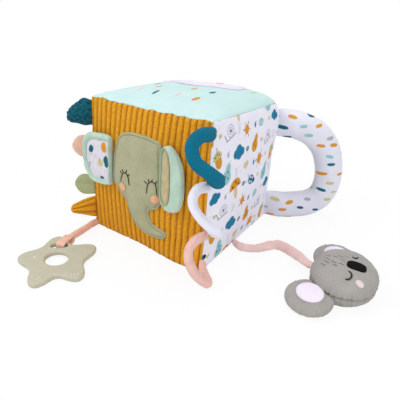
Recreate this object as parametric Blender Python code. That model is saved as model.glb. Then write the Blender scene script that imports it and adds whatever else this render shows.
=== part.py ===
"""Soft fabric activity block for a baby.

Six fabric panels are sewn round a foam core that holds a rattle. The front carries a
padded elephant whose two ears fold. One upright front seam has three padded loops, the
other has four tags, and the right back seam has a padded grab handle. A star teether and
a stuffed koala head hang on straps. Metres, +Z up: the block stands on z = 0 with its
middle on the Z axis, the elephant faces -Y and the loops are at +X, -Y.
"""

import math

import bmesh
import bpy
import numpy as np
from mathutils import Vector

MM = 0.001
DEGREE = math.pi / 180

# Clearances
touch_gap = 0.3 * MM
nest_gap = 0.4 * MM
cut_overrun = 2 * MM

# The block
block_side = 150 * MM
wall_crown = 6.5 * MM
top_crown = 8 * MM
base_crown = 2 * MM
base_cut = 0.5 * MM
corner_draw = 4 * MM
crown_power = 2.4
draw_power = 8
panel_wall = 1.6 * MM
panel_cells = 8

# The rattle in the core
capsule_radius = 20 * MM
capsule_height = 26 * MM
capsule_wall = 1.5 * MM
capsule_rounding = 5 * MM
rattle_ball_radius = 4.5 * MM
turned_sides = 20

# The elephant's head and trunk
elephant_height = 110 * MM
elephant_foot = 18.6 * MM
elephant_edge = 1.5 * MM
elephant_loft = 5 * MM
elephant_skin = 1.5 * MM
wadding_gap = 0.5 * MM
wadding_edge_rows = 2
elephant_columns = 8
cheek_radius = 3.8 * MM
cheek_thickness = 0.9 * MM
cheek_sides = 14

# The elephant's ears
ear_thickness = 7 * MM
ear_back_wall = 1.3 * MM
ear_rounding = 2.2 * MM
ear_film_thickness = 0.4 * MM
ear_lift = 0.3 * MM
ear_side_gap = 0.6 * MM
ear_lining_gap = 0.9 * MM
left_ear_height = 57 * MM
left_ear_middle = 91.3 * MM
right_ear_height = 66.5 * MM
right_ear_middle = 92.5 * MM
ear_sides = 24

# The padded loops
loop_width = 13.5 * MM
white_loop_width = 11.5 * MM
pink_loop_width = 11.5 * MM
loop_depth = 9.5 * MM
loop_wall = 1.2 * MM
loop_reach = 25 * MM
loop_root_gap = 0.6 * MM
loop_lead = 2.2 * MM
loop_filling_gap = 0.5 * MM
loop_stations = 17
loop_sides = 10
teal_loop_top = 145 * MM
white_loop_top = 91.5 * MM
pink_loop_top = 39 * MM

# The tags
tag_root = 0.6 * MM
tag_root_gap = 0.7 * MM
tab_thickness = 3.2 * MM
tab_reach = 22 * MM
tab_height = 25 * MM
pink_tab_middle = 97.5 * MM
green_tab_middle = 52 * MM
flower_reach = 22 * MM
flower_height = 30 * MM
flower_thickness = 8 * MM
flower_middle = 135 * MM
flower_tuck = 0.8 * MM
spike_reach = 26 * MM
spike_height = 26 * MM
spike_thickness = 13 * MM
spike_middle = 24.5 * MM
spike_tuck = 0.6 * MM
spike_droop = 2.5 * MM
flower_droop = 4 * MM
tab_droop = 2 * MM
tag_sides = 12
flower_turn = 225 * DEGREE
tab_turn = 200 * DEGREE
tag_rows = 8

# The handle
handle_width = 34 * MM
handle_depth = 30 * MM
handle_wall = 1.5 * MM
handle_reach = 83 * MM
handle_top = 126.5 * MM
handle_low = 17.6 * MM
handle_root = 2 * MM
handle_root_gap = 1.3 * MM
handle_stations = 20
handle_sides = 12

# The star teether and its strap
star_tip_radii = (42.5 * MM, 42.5 * MM, 44.5 * MM, 38.5 * MM, 43 * MM)
star_valley_radius = 28.5 * MM
star_hole_radius = 11 * MM
star_thickness = 5.5 * MM
star_rounding = 1.8 * MM
star_sides = 40
star_centre_x = -46.1 * MM
star_centre_y = -156.2 * MM
star_arm_angle = 133 * DEGREE
star_tip_turns = (-10 * DEGREE, 71 * DEGREE, 137 * DEGREE, 214 * DEGREE, 290 * DEGREE)
star_slot_distance = 22.5 * MM
star_slot_length = 16.5 * MM
star_slot_width = 8 * MM
strap_loop_width = 8.5 * MM
strap_loop_wall = 1.4 * MM
strap_loop_length = 19 * MM
strap_loop_in_slot = 4.5 * MM
strap_loop_aside = -2 * MM
strap_loop_turn = 106 * DEGREE
strap_diameter = 8.4 * MM

# The koala
koala_x = 204 * MM
koala_y = -21 * MM
koala_length = 64 * MM
koala_breadth = 68 * MM
koala_seam_height = 11 * MM
koala_belly_height = 17 * MM
koala_height = 34.5 * MM
koala_skin = 1.5 * MM
koala_tilt = 8 * DEGREE
koala_bed_cut = 0.5 * MM
koala_sides = 24
koala_ear_radius = 23 * MM
koala_ear_thickness = 15 * MM
koala_front_ear_forward = -20 * MM
koala_front_ear_aside = -41 * MM
koala_back_ear_forward = -18 * MM
koala_back_ear_aside = 29.5 * MM
koala_ear_level = 14 * MM
koala_patch_radius = 13.5 * MM
koala_patch_thickness = 1.2 * MM
koala_nose_length = 18 * MM
koala_nose_breadth = 12 * MM
koala_nose_thickness = 2.2 * MM
koala_nose_forward = 7.8 * MM
koala_nose_aside = 1.2 * MM

# The top's cloud
cloud_radius = 47 * MM
cloud_x = -12 * MM
cloud_y = 39 * MM
cloud_thickness = 1.4 * MM
cloud_sides = 36

half_side = block_side / 2
block_middle = Vector((0, 0, half_side + base_crown - base_cut))
mitre = touch_gap / math.sqrt(2)
core_lift = -(panel_wall + touch_gap)

FACES = {
    "front": (Vector((0, -1, 0)), Vector((1, 0, 0)), Vector((0, 0, 1)), wall_crown),
    "right": (Vector((1, 0, 0)), Vector((0, 1, 0)), Vector((0, 0, 1)), wall_crown),
    "back": (Vector((0, 1, 0)), Vector((-1, 0, 0)), Vector((0, 0, 1)), wall_crown),
    "left": (Vector((-1, 0, 0)), Vector((0, -1, 0)), Vector((0, 0, 1)), wall_crown),
    "top": (Vector((0, 0, 1)), Vector((1, 0, 0)), Vector((0, 1, 0)), top_crown),
    "bottom": (Vector((0, 0, -1)), Vector((1, 0, 0)), Vector((0, -1, 0)), base_crown),
}

FABRICS = {
    "mint": ((0.60, 0.84, 0.80), 0.95),
    "corduroy": ((0.72, 0.31, 0.03), 0.95),
    "white_print": ((0.84, 0.82, 0.92), 0.9),
    "teal": ((0.005, 0.20, 0.33), 0.9),
    "dark_teal": ((0.007, 0.11, 0.15), 0.95),
    "pink": ((0.90, 0.55, 0.50), 0.95),
    "sage": ((0.42, 0.45, 0.27), 0.95),
    "peach": ((0.87, 0.48, 0.26), 0.95),
    "green": ((0.42, 0.55, 0.33), 0.95),
    "foam": ((0.9, 0.88, 0.75), 1.0),
    "wadding": ((0.9, 0.9, 0.9), 1.0),
    "crinkle_film": ((0.8, 0.85, 0.9), 0.3),
    "capsule_plastic": ((0.85, 0.85, 0.8), 0.35),
    "ball_steel": ((0.6, 0.6, 0.6), 0.3),
    "silicone": ((0.50, 0.51, 0.37), 0.55),
    "koala_grey": ((0.38, 0.38, 0.37), 1.0),
    "white_velour": ((0.84, 0.76, 0.88), 1.0),
    "nose_black": ((0.01, 0.008, 0.008), 0.9),
}
METALS = {"ball_steel"}


def clear_scene():
    """Remove whatever the open scene holds."""
    for found in list(bpy.data.objects):
        bpy.data.objects.remove(found, do_unlink=True)


def fabric(name):
    """The Principled material of one fabric or finish, made once."""
    found = bpy.data.materials.get(name)
    if found:
        return found
    colour, roughness = FABRICS[name]
    made = bpy.data.materials.new(name)
    made.use_nodes = True
    shader = made.node_tree.nodes["Principled BSDF"]
    shader.inputs["Base Color"].default_value = (*colour, 1)
    shader.inputs["Roughness"].default_value = roughness
    shader.inputs["Metallic"].default_value = 1.0 if name in METALS else 0.0
    return made


def place(name, points, faces, fabric_name, origin=Vector((0, 0, 0)), smooth=True):
    """Make a closed mesh object whose own origin is at the given point."""
    mesh = bpy.data.meshes.new(name)
    mesh.from_pydata([Vector(point) - origin for point in points], [], faces)
    shape = bmesh.new()
    shape.from_mesh(mesh)
    bmesh.ops.recalc_face_normals(shape, faces=shape.faces)
    shape.to_mesh(mesh)
    shape.free()
    if smooth:
        mesh.shade_smooth()
    mesh.materials.append(fabric(fabric_name))
    made = bpy.data.objects.new(name, mesh)
    made.location = origin
    bpy.context.scene.collection.objects.link(made)
    return made


def cut(target, cutter):
    """Take the cutter's shape out of the target."""
    cutter.hide_render = True
    cutter.display_type = "WIRE"
    modifier = target.modifiers.new("cut by " + cutter.name, "BOOLEAN")
    modifier.operation = "DIFFERENCE"
    modifier.solver = "EXACT"
    modifier.object = cutter


def split_quad(faces, corners):
    """Add a quad as two triangles, always split the same way."""
    a, b, c, d = corners
    faces.append((a, b, c))
    faces.append((a, c, d))


def ring_skin(rings, joined=False):
    """Points and faces of a skin over rings: a ring of one point closes it to a tip.

    Unjoined skins close their first and last ring with a flat cap. Joined skins run from
    the last ring back to the first, like a tube bent on itself.
    """
    points, starts = [], []
    for ring in rings:
        starts.append(len(points))
        points.extend(ring)
    faces = []
    steps = len(rings) if joined else len(rings) - 1
    for step in range(steps):
        here, there = rings[step], rings[(step + 1) % len(rings)]
        first, second = starts[step], starts[(step + 1) % len(rings)]
        count = max(len(here), len(there))
        for side in range(count):
            following = (side + 1) % count
            if len(here) == 1:
                faces.append((first, second + side, second + following))
            elif len(there) == 1:
                faces.append((first + side, second, first + following))
            else:
                corners = (
                    first + side,
                    first + following,
                    second + following,
                    second + side,
                )
                split_quad(faces, corners)
    if not joined and len(rings[0]) > 1:
        faces.append(tuple(starts[0] + side for side in range(len(rings[0]))))
    if not joined and len(rings[-1]) > 1:
        faces.append(tuple(starts[-1] + side for side in range(len(rings[-1]))))
    return points, faces


def grid_skin(upper, lower):
    """Points and faces of a sheet with thickness, from two grids of points."""
    rows, columns = len(upper), len(upper[0])
    points = [point for row in upper for point in row]
    base = len(points)
    points += [point for row in lower for point in row]
    faces = []
    for row in range(rows - 1):
        for column in range(columns - 1):
            corner = row * columns + column
            across = (corner, corner + 1, corner + columns + 1, corner + columns)
            split_quad(faces, across)
            split_quad(faces, tuple(base + index for index in across))
    rim = [column for column in range(columns)]
    rim += [row * columns + columns - 1 for row in range(1, rows)]
    rim += [(rows - 1) * columns + column for column in range(columns - 2, -1, -1)]
    rim += [row * columns for row in range(rows - 2, 0, -1)]
    for place_on_rim, index in enumerate(rim):
        following = rim[(place_on_rim + 1) % len(rim)]
        split_quad(faces, (index, following, base + following, base + index))
    return points, faces


def smooth_route(controls, count, closed=False):
    """Points at even steps along a smooth curve through the controls."""
    knots = np.array(controls, dtype=float)
    if closed:
        knots = np.vstack([knots[-1], knots, knots[0], knots[1]])
    else:
        before = 2 * knots[0] - knots[1]
        after = 2 * knots[-1] - knots[-2]
        knots = np.vstack([before, knots, after])
    fine_steps = 24
    fine = []
    for index in range(1, len(knots) - 2):
        p0, p1, p2, p3 = knots[index - 1 : index + 3]
        for step in range(fine_steps):
            t = step / fine_steps
            pull = 2 * p1 + (p2 - p0) * t
            bend = (2 * p0 - 5 * p1 + 4 * p2 - p3) * t * t
            twist = (3 * p1 - p0 - 3 * p2 + p3) * t * t * t
            fine.append((pull + bend + twist) / 2)
    fine.append(knots[-2])
    fine = np.array(fine)
    lengths = np.concatenate([[0], np.cumsum(np.linalg.norm(np.diff(fine, axis=0), axis=1))])
    wanted = np.linspace(0, lengths[-1], count + 1 if closed else count)
    even = np.stack([np.interp(wanted, lengths, fine[:, axis]) for axis in range(fine.shape[1])], 1)
    return even[:-1] if closed else even


def oval_rings(route, broad_halves, deep_halves, first_broad, sides):
    """Rings of ovals square to a route, carried along it without twist."""
    route = [Vector(point) for point in route]
    rings = []
    broad = Vector(first_broad).normalized()
    for index, centre in enumerate(route):
        before = route[max(index - 1, 0)]
        after = route[min(index + 1, len(route) - 1)]
        tangent = (after - before).normalized()
        broad = (broad - tangent * broad.dot(tangent)).normalized()
        deep = tangent.cross(broad)
        ring = []
        for side in range(sides):
            turn = 2 * math.pi * side / sides
            aside = broad * (broad_halves[index] * math.cos(turn))
            ring.append(centre + aside + deep * (deep_halves[index] * math.sin(turn)))
        rings.append(ring)
    return rings


def block_point(face, across, up, lift):
    """A point on one crowned side of the block; across and up run from -1 to 1."""
    normal, across_axis, up_axis, crown = FACES[face]
    reach = half_side + lift
    point = normal * reach + across_axis * (across * reach) + up_axis * (up * reach)
    rise = (1 - abs(across) ** crown_power) * (1 - abs(up) ** crown_power)
    point += normal * (crown * rise)
    draw = corner_draw * abs(across * up) ** draw_power
    inward = normal + across_axis * math.copysign(1, across) + up_axis * math.copysign(1, up)
    return block_middle + point - inward * draw


def face_grid(face, lift, edge_gap):
    """A grid of points over one side, kept above its own layer's floor."""
    floor = -lift
    grid = []
    for row in range(panel_cells + 1):
        line = []
        for column in range(panel_cells + 1):
            across = 2 * column / panel_cells - 1
            up = 2 * row / panel_cells - 1
            point = block_point(face, across, up, lift)
            normal, across_axis, up_axis, _ = FACES[face]
            point -= across_axis * (edge_gap * across) + up_axis * (edge_gap * up)
            point.z = max(point.z, floor)
            line.append(point)
        grid.append(line)
    return grid


def panel(face, fabric_name):
    """One fabric panel of the cover, mitred along its four seams."""
    outer = face_grid(face, 0, mitre)
    inner = face_grid(face, -panel_wall, mitre)
    points, faces = grid_skin(outer, inner)
    return place(face + "_panel", points, faces, fabric_name)


def foam_core():
    """The foam core, with the rattle's pocket cut up into it from below."""
    shape = bmesh.new()
    for face in FACES:
        grid = face_grid(face, core_lift, 0)
        corners = [[shape.verts.new(point) for point in row] for row in grid]
        for row in range(panel_cells):
            for column in range(panel_cells):
                a, b = corners[row][column], corners[row][column + 1]
                c, d = corners[row + 1][column + 1], corners[row + 1][column]
                shape.faces.new((a, b, c))
                shape.faces.new((a, c, d))
    bmesh.ops.remove_doubles(shape, verts=shape.verts, dist=touch_gap / 100)
    bmesh.ops.recalc_face_normals(shape, faces=shape.faces)
    mesh = bpy.data.meshes.new("foam_core")
    shape.to_mesh(mesh)
    shape.free()
    mesh.materials.append(fabric("foam"))
    core = bpy.data.objects.new("foam_core", mesh)
    bpy.context.scene.collection.objects.link(core)
    pocket_radius = capsule_radius + touch_gap
    pocket_top = block_middle.z + capsule_height / 2 + touch_gap
    pocket = turned("pocket_cutter", [(0, -cut_overrun), (pocket_radius, -cut_overrun),
                                      (pocket_radius, pocket_top), (0, pocket_top)], "foam")
    cut(core, pocket)
    return core


def turned(name, profile, fabric_name, centre=Vector((0, 0, 0)), sides=turned_sides):
    """A solid turned about a vertical line, from a profile that starts and ends on it."""
    rings = []
    for radius, height in profile:
        level = centre + Vector((0, 0, height))
        if radius == 0:
            rings.append([level])
            continue
        ring = []
        for side in range(sides):
            turn = 2 * math.pi * side / sides
            ring.append(level + Vector((math.cos(turn), math.sin(turn), 0)) * radius)
        rings.append(ring)
    points, faces = ring_skin(rings)
    return place(name, points, faces, fabric_name)


def foam_plug():
    """The round plug of foam that shuts the pocket under the rattle."""
    low = panel_wall + touch_gap
    high = block_middle.z - capsule_height / 2 - touch_gap
    profile = [(0, low), (capsule_radius, low), (capsule_radius, high), (0, high)]
    turned("foam_plug", profile, "foam")


def half_capsule(name, direction):
    """One cup of the rattle's capsule; direction is 1 for the upper one, -1 below."""
    outer_end = capsule_height / 2
    inner_end = outer_end - capsule_wall
    inner_radius = capsule_radius - capsule_wall
    inner_rounding = capsule_rounding - capsule_wall
    seam = touch_gap / 2
    steps = 4
    outer, inner = [(0, outer_end)], [(0, inner_end)]
    for step in range(steps + 1):
        turn = math.pi / 2 * step / steps
        swing, fall = math.sin(turn), math.cos(turn)
        outer.append((capsule_radius - capsule_rounding * (1 - swing),
                      outer_end - capsule_rounding * (1 - fall)))
        inner.append((inner_radius - inner_rounding * (1 - swing),
                      inner_end - inner_rounding * (1 - fall)))
    outer.append((capsule_radius, seam))
    inner.append((inner_radius, seam))
    profile = outer + inner[::-1]
    profile = [(radius, direction * height) for radius, height in profile]
    turned(name, profile, "capsule_plastic", block_middle)


def rattle_ball():
    """The loose ball, lying in the lower cup."""
    floor = block_middle.z - capsule_height / 2 + capsule_wall + touch_gap
    shape = bmesh.new()
    bmesh.ops.create_icosphere(shape, subdivisions=2, radius=rattle_ball_radius)
    mesh = bpy.data.meshes.new("rattle_ball")
    shape.to_mesh(mesh)
    shape.free()
    mesh.shade_smooth()
    mesh.materials.append(fabric("ball_steel"))
    ball = bpy.data.objects.new("rattle_ball", mesh)
    ball.location = (0, 0, floor + rattle_ball_radius)
    bpy.context.scene.collection.objects.link(ball)


def front_surface(x, z, height):
    """A point in front of the front panel, a given height off its crowned face."""
    across = x / half_side
    up = (z - block_middle.z) / half_side
    rise = (1 - abs(across) ** crown_power) * (1 - abs(up) ** crown_power)
    return Vector((x, -(half_side + wall_crown * rise + height), z))


# Left and right edge of the head and trunk, from the crown down to the trunk's tip: how
# far each lies from the middle and above the trunk's foot, as shares of the height.
elephant_edge_shares = (
    ((-0.127, 0.991), (0.027, 0.991)),
    ((-0.22, 0.966), (0.127, 0.977)),
    ((-0.282, 0.909), (0.209, 0.947)),
    ((-0.322, 0.767), (0.231, 0.795)),
    ((-0.338, 0.631), (0.247, 0.658)),
    ((-0.343, 0.531), (0.247, 0.531)),
    ((-0.33, 0.458), (0.24, 0.431)),
    ((-0.282, 0.415), (0.213, 0.349)),
    ((-0.236, 0.358), (0.16, 0.312)),
    ((-0.187, 0.316), (0.113, 0.307)),
    ((-0.159, 0.254), (0.1, 0.262)),
    ((-0.136, 0.185), (0.115, 0.2)),
    ((-0.102, 0.115), (0.146, 0.158)),
    ((-0.027, 0.048), (0.195, 0.137)),
    ((0.082, 0.012), (0.25, 0.13)),
    ((0.2, 0.02), (0.293, 0.115)),
    ((0.277, 0.036), (0.316, 0.081)),
)
elephant_fade_rows = 3
elephant_fade_power = 0.6
elephant_round_power = 2.6


def elephant_point(row, aside, under):
    """A point over the elephant's head: aside runs from -1 at its left edge to 1.

    under is how far below the padded face the point lies.
    """
    low = int(min(math.floor(row), len(elephant_edge_shares) - 2))
    blend = row - low
    edges = []
    for side in (0, 1):
        upper = Vector(elephant_edge_shares[low][side])
        lower = Vector(elephant_edge_shares[low + 1][side])
        edges.append(upper.lerp(lower, blend) * elephant_height)
    spot = edges[0].lerp(edges[1], (aside + 1) / 2)
    last_row = len(elephant_edge_shares) - 1
    fade = min(1, row / elephant_fade_rows, (last_row - row) / elephant_fade_rows)
    swell = (max(fade, 0) ** elephant_fade_power) * (1 - abs(aside) ** elephant_round_power)
    height = elephant_edge + (elephant_loft - elephant_edge) * swell
    return front_surface(spot.x, spot.y + elephant_foot, touch_gap + height - under)


def elephant_grid(rows, columns, under):
    """A grid of points over the head, on chosen rows and columns."""
    grid = []
    for row in rows:
        line = []
        for column in columns:
            aside = 2 * column / elephant_columns - 1
            line.append(elephant_point(row, aside, under))
        grid.append(line)
    return grid


def elephant_head():
    """The padded head and trunk in one velour piece, and the wadding under it."""
    rows = range(len(elephant_edge_shares))
    columns = range(elephant_columns + 1)
    upper = elephant_grid(rows, columns, 0)
    lower = elephant_grid(rows, columns, elephant_skin)
    points, faces = grid_skin(upper, lower)
    place("elephant_head", points, faces, "sage")
    inner_rows = range(wadding_edge_rows, len(elephant_edge_shares) - wadding_edge_rows)
    inner_columns = range(1, elephant_columns)
    upper = elephant_grid(inner_rows, inner_columns, elephant_skin + wadding_gap)
    lower = []
    for line in upper:
        lower.append([front_surface(point.x, point.z, wadding_gap) for point in line])
    points, faces = grid_skin(upper, lower)
    place("elephant_wadding", points, faces, "wadding")


def cheek(name, row, aside, row_stretch):
    """A small felt cheek lying on the head."""
    centre = elephant_point(row, aside, -nest_gap)
    beside = (elephant_point(row, aside + 1 / elephant_columns, -nest_gap) - centre).length
    below = (elephant_point(row + 1, aside, -nest_gap) - centre).length
    rings = []
    for lift in (nest_gap, nest_gap + cheek_thickness):
        ring = []
        for side in range(cheek_sides):
            turn = 2 * math.pi * side / cheek_sides
            across = math.cos(turn) * cheek_radius / beside / elephant_columns
            down = math.sin(turn) * cheek_radius * row_stretch / below
            ring.append(elephant_point(row + down, aside + across, -lift))
        middle = [elephant_point(row, aside, -lift)]
        rings += [middle, ring] if lift == nest_gap else [ring, middle]
    points, faces = ring_skin(rings)
    place(name, points, faces, "peach")


# The ears' outlines: distance from the fold and height from the ear's middle, as shares
# of the ear's height.
left_ear_shares = (
    (0, 0.2), (0, 0.45), (0.133, 0.498), (0.332, 0.481), (0.5, 0.463), (0.61, 0.393),
    (0.672, 0.307), (0.698, 0.161), (0.7, 0), (0.686, -0.147), (0.639, -0.286),
    (0.563, -0.417), (0.467, -0.488), (0.31, -0.497), (0.14, -0.491), (0, -0.43),
    (0, -0.17), (0, 0),
)
right_ear_shares = (
    (0, 0.154), (0, 0.385), (0.02, 0.456), (0.123, 0.5), (0.233, 0.43), (0.31, 0.326),
    (0.365, 0.2), (0.388, 0.035), (0.4, -0.125), (0.386, -0.307), (0.343, -0.433),
    (0.262, -0.492), (0.158, -0.5), (0.084, -0.456), (0.02, -0.4), (0, -0.3), (0, -0.077),
)
ear_edge_rise_share = 0.4
ear_edge_inset_share = 0.3
ear_lining_edge_share = 0.5
left_ear_centre_shares = (0.345, 0)
right_ear_centre_shares = (0.2, 0)
left_window_shares = (0.325, -0.022)
right_window_shares = (0.117, 0.01)
left_window_size_shares = (0.77, 0.77)
right_window_size_shares = (0.36, 0.8)


def ear(side_name, direction, fold_x, middle, height, outline_shares, centre_shares,
        window_shares, window_size_shares, lining_fabric):
    """An ear of velour back and border, a lining in its window and film between them."""
    outline = smooth_route(outline_shares, ear_sides, closed=True)
    outline[:, 0] = np.maximum(outline[:, 0], 0)
    rest = front_surface(fold_x, middle, ear_lift).y
    fold = Vector((fold_x, rest - ear_thickness / 2, middle))

    def level(scale, centre, depth, inset=0.0):
        """One ring of the ear, scaled about a centre, at a depth from its back."""
        ring = []
        for out, high in outline:
            out = centre[0] + (out - centre_shares[0]) * scale[0]
            high = centre[1] + (high - centre_shares[1]) * scale[1]
            spot = Vector((out * height, 0, high * height))
            middle_spot = Vector((centre[0] * height, 0, centre[1] * height))
            spot -= (spot - middle_spot).normalized() * inset
            x = fold_x + direction * (spot.x + ear_side_gap)
            ring.append(Vector((x, rest - depth, middle + spot.z)))
        return ring

    def hub(centre, depth):
        """The middle point that closes a ring."""
        x = fold_x + direction * (centre[0] * height + ear_side_gap)
        return [Vector((x, rest - depth, middle + centre[1] * height))]

    whole = (1, 1)
    window = window_size_shares
    border_front = ear_thickness
    edge_rise = ear_rounding * ear_edge_rise_share
    edge_inset = ear_rounding * ear_edge_inset_share
    cover = [
        hub(centre_shares, 0),
        level(whole, centre_shares, 0, ear_rounding),
        level(whole, centre_shares, edge_rise, edge_inset),
        level(whole, centre_shares, ear_thickness / 2),
        level(whole, centre_shares, border_front - edge_rise, edge_inset),
        level(whole, centre_shares, border_front, ear_rounding),
        level(window, window_shares, border_front),
        level(window, window_shares, ear_back_wall, edge_inset),
        hub(window_shares, ear_back_wall),
    ]
    points, faces = ring_skin(cover)
    place(side_name + "_ear_cover", points, faces, "mint", fold)
    inset = edge_inset + ear_lining_gap
    film_back = ear_back_wall + touch_gap
    film_front = film_back + ear_film_thickness
    film = [
        hub(window_shares, film_back),
        level(window, window_shares, film_back, inset),
        level(window, window_shares, film_front, inset),
        hub(window_shares, film_front),
    ]
    points, faces = ring_skin(film)
    place(side_name + "_ear_crinkle_film", points, faces, "crinkle_film", fold)
    lining_back = film_front + touch_gap
    lining_front = ear_thickness - edge_rise
    lining = [
        hub(window_shares, lining_back),
        level(window, window_shares, lining_back, inset),
        level(window, window_shares, lining_front - ear_rounding * ear_lining_edge_share, inset),
        level(window, window_shares, lining_front, inset + ear_rounding),
        hub(window_shares, lining_front),
    ]
    points, faces = ring_skin(lining)
    place(side_name + "_ear_lining", points, faces, lining_fabric, fold)


# Routes of the loops: distance to the left of the seam, out from it and below the loop's
# upper end, as shares of the reach.
teal_loop_shares = (
    (-0.02, 0, 0), (0.18, 0.28, 0.05), (0.5, 0.52, 0.1), (0.8, 0.7, -0.04),
    (0.9, 0.8, -0.3), (0.76, 0.92, -0.7), (0.46, 1.0, -0.98), (0.12, 1.02, -1.22),
    (-0.14, 0.84, -1.5), (-0.17, 0.5, -1.66), (-0.05, 0.24, -1.64), (0.0, 0, -1.62),
)
white_loop_shares = (
    (0.02, 0, 0), (0.3, 0.26, 0.06), (0.58, 0.5, 0.04), (0.74, 0.7, -0.14),
    (0.72, 0.8, -0.4), (0.58, 0.9, -0.66), (0.34, 0.98, -0.9), (0.06, 1.0, -1.12),
    (-0.2, 0.92, -1.3), (-0.32, 0.62, -1.44), (-0.22, 0.3, -1.4), (-0.02, 0, -1.3),
)
pink_loop_shares = (
    (-0.01, 0, 0), (0.28, 0.26, 0.04), (0.56, 0.5, 0.02), (0.72, 0.74, -0.18),
    (0.7, 0.92, -0.5), (0.56, 1.06, -0.84), (0.38, 1.16, -1.12), (0.16, 1.16, -1.3),
    (-0.04, 0.94, -1.34), (-0.12, 0.6, -1.28), (-0.1, 0.26, -1.2), (-0.06, 0, -1.14),
)
loop_end_share = 0.5
loop_swell_share = 0.2
loop_swell_power = 0.7
seam_out = Vector((1, -1, 0)).normalized()
seam_left = Vector((-1, -1, 0)).normalized()
loop_seam = Vector((half_side, -half_side, 0))
loop_axis = loop_seam + seam_out * (loop_root_gap + loop_depth / 2)


def padded_loop(name, fabric_name, width, top, route_shares):
    """A padded fabric loop sewn into the seam at both ends, and its filling."""
    controls = []
    for left, out, rise in route_shares:
        spot = loop_seam + seam_left * (left * loop_reach)
        spot += seam_out * (loop_root_gap + loop_lead + out * loop_reach)
        spot.z = top + rise * loop_reach
        controls.append(spot)
    roots = [controls[0] - seam_out * loop_lead, controls[-1] - seam_out * loop_lead]
    route = [roots[0], *smooth_route(controls, loop_stations), roots[1]]
    broad, deep = [], []
    for station in range(len(route)):
        along = station / (len(route) - 1)
        nearest_end = min(along, 1 - along) / loop_swell_share
        swell = loop_end_share + (1 - loop_end_share) * min(1, nearest_end) ** loop_swell_power
        broad.append(width / 2 * swell)
        deep.append(loop_depth / 2 * swell)
    upright = Vector((0, 0, 1))
    outer = oval_rings(route, broad, deep, upright, loop_sides)
    thin_broad = [half - loop_wall for half in broad]
    thin_deep = [half - loop_wall for half in deep]
    inner = oval_rings(route, thin_broad, thin_deep, upright, loop_sides)
    points, faces = ring_skin(outer + inner[::-1], joined=True)
    place(name + "_loop_cover", points, faces, fabric_name, loop_axis)
    fill_broad = [half - loop_filling_gap for half in thin_broad]
    fill_deep = [half - loop_filling_gap for half in thin_deep]
    filling = oval_rings(route, fill_broad, fill_deep, upright, loop_sides)[1:-1]
    points, faces = ring_skin(filling)
    place(name + "_loop_filling", points, faces, "wadding", loop_axis)


tag_seam = Vector((-half_side, -half_side, 0))
tag_bisector = Vector((-1, -1, 0)).normalized()
tag_axis = tag_seam + tag_bisector * tag_root_gap


def tag(name, fabric_name, turn, middle, reach, thickness, outline, droop, tuck=0.0):
    """A padded tag hinged on the front left seam.

    outline gives the lower and upper edge at a share of the reach; tuck is how far the
    root goes in past the hinge line, where the block's corners are drawn in.
    """
    direction = Vector((math.cos(turn), math.sin(turn), 0))
    beside = Vector((-direction.y, direction.x, 0))
    rings = []
    for row in range(tag_rows + 1):
        along = row / tag_rows
        low, high = outline(along)
        fullness = math.sqrt(max(1 - (2 * along - 1) ** 2, 0))
        half_thick = tag_root + (thickness / 2 - tag_root) * fullness
        ring = []
        for side in range(tag_sides):
            turn_round = 2 * math.pi * side / tag_sides
            rise = (low + high) / 2 + (high - low) / 2 * math.cos(turn_round)
            level = middle + rise - droop * along ** 2
            spot = tag_axis + direction * (along * (reach + tuck) - tuck)
            spot = spot + beside * (half_thick * math.sin(turn_round))
            ring.append(Vector((spot.x, spot.y, level)))
        rings.append(ring)
    points, faces = ring_skin(rings)
    place(name, points, faces, fabric_name, tag_axis)


tab_root_share = 0.86
tab_tip_share = 0.3
flower_tip_share = 0.34
flower_scallop_share = 0.13
flower_scallops = 2.5
spike_tip_share = 0.26
spike_power = 1.2


def tab_outline(along):
    """A tab with a round end."""
    width = tab_root_share + (1 - tab_root_share) * math.sin(math.pi * along)
    if along > 0.5:
        width *= math.sqrt(max(1 - (2 * along - 1) ** 2, tab_tip_share ** 2))
    return -tab_height / 2 * width, tab_height / 2 * width


def flower_outline(along):
    """A half flower whose round petals make a scalloped edge."""
    width = math.sqrt(max(1 - along ** 2, flower_tip_share ** 2))
    width *= 1 - flower_scallop_share * abs(math.cos(flower_scallops * math.pi * along))
    return -flower_height / 2 * width, flower_height / 2 * width


def spike_outline(along):
    """A spike that narrows to a blunt tip."""
    width = 1 - (1 - spike_tip_share) * along ** spike_power
    return -spike_height / 2 * width, spike_height / 2 * width


# The handle's middle line: distance out from the seam and height, each as a share of the
# way from the seam to the reach and from the low run to the high one.
handle_shares = (
    (0, 1.0), (0.08, 1.0), (0.32, 0.975), (0.6, 0.89), (0.83, 0.73), (0.95, 0.54),
    (1.0, 0.36), (0.985, 0.2), (0.91, 0.09), (0.75, 0.02), (0.55, 0.0), (0.3, 0.0),
    (0.08, 0.03), (0, 0.03),
)
handle_flat_share = 0.26
handle_outward = Vector((1, 1, 0)).normalized()
handle_seam = Vector((half_side, half_side, 0))
handle_axis = handle_seam + handle_outward * handle_root_gap


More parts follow.
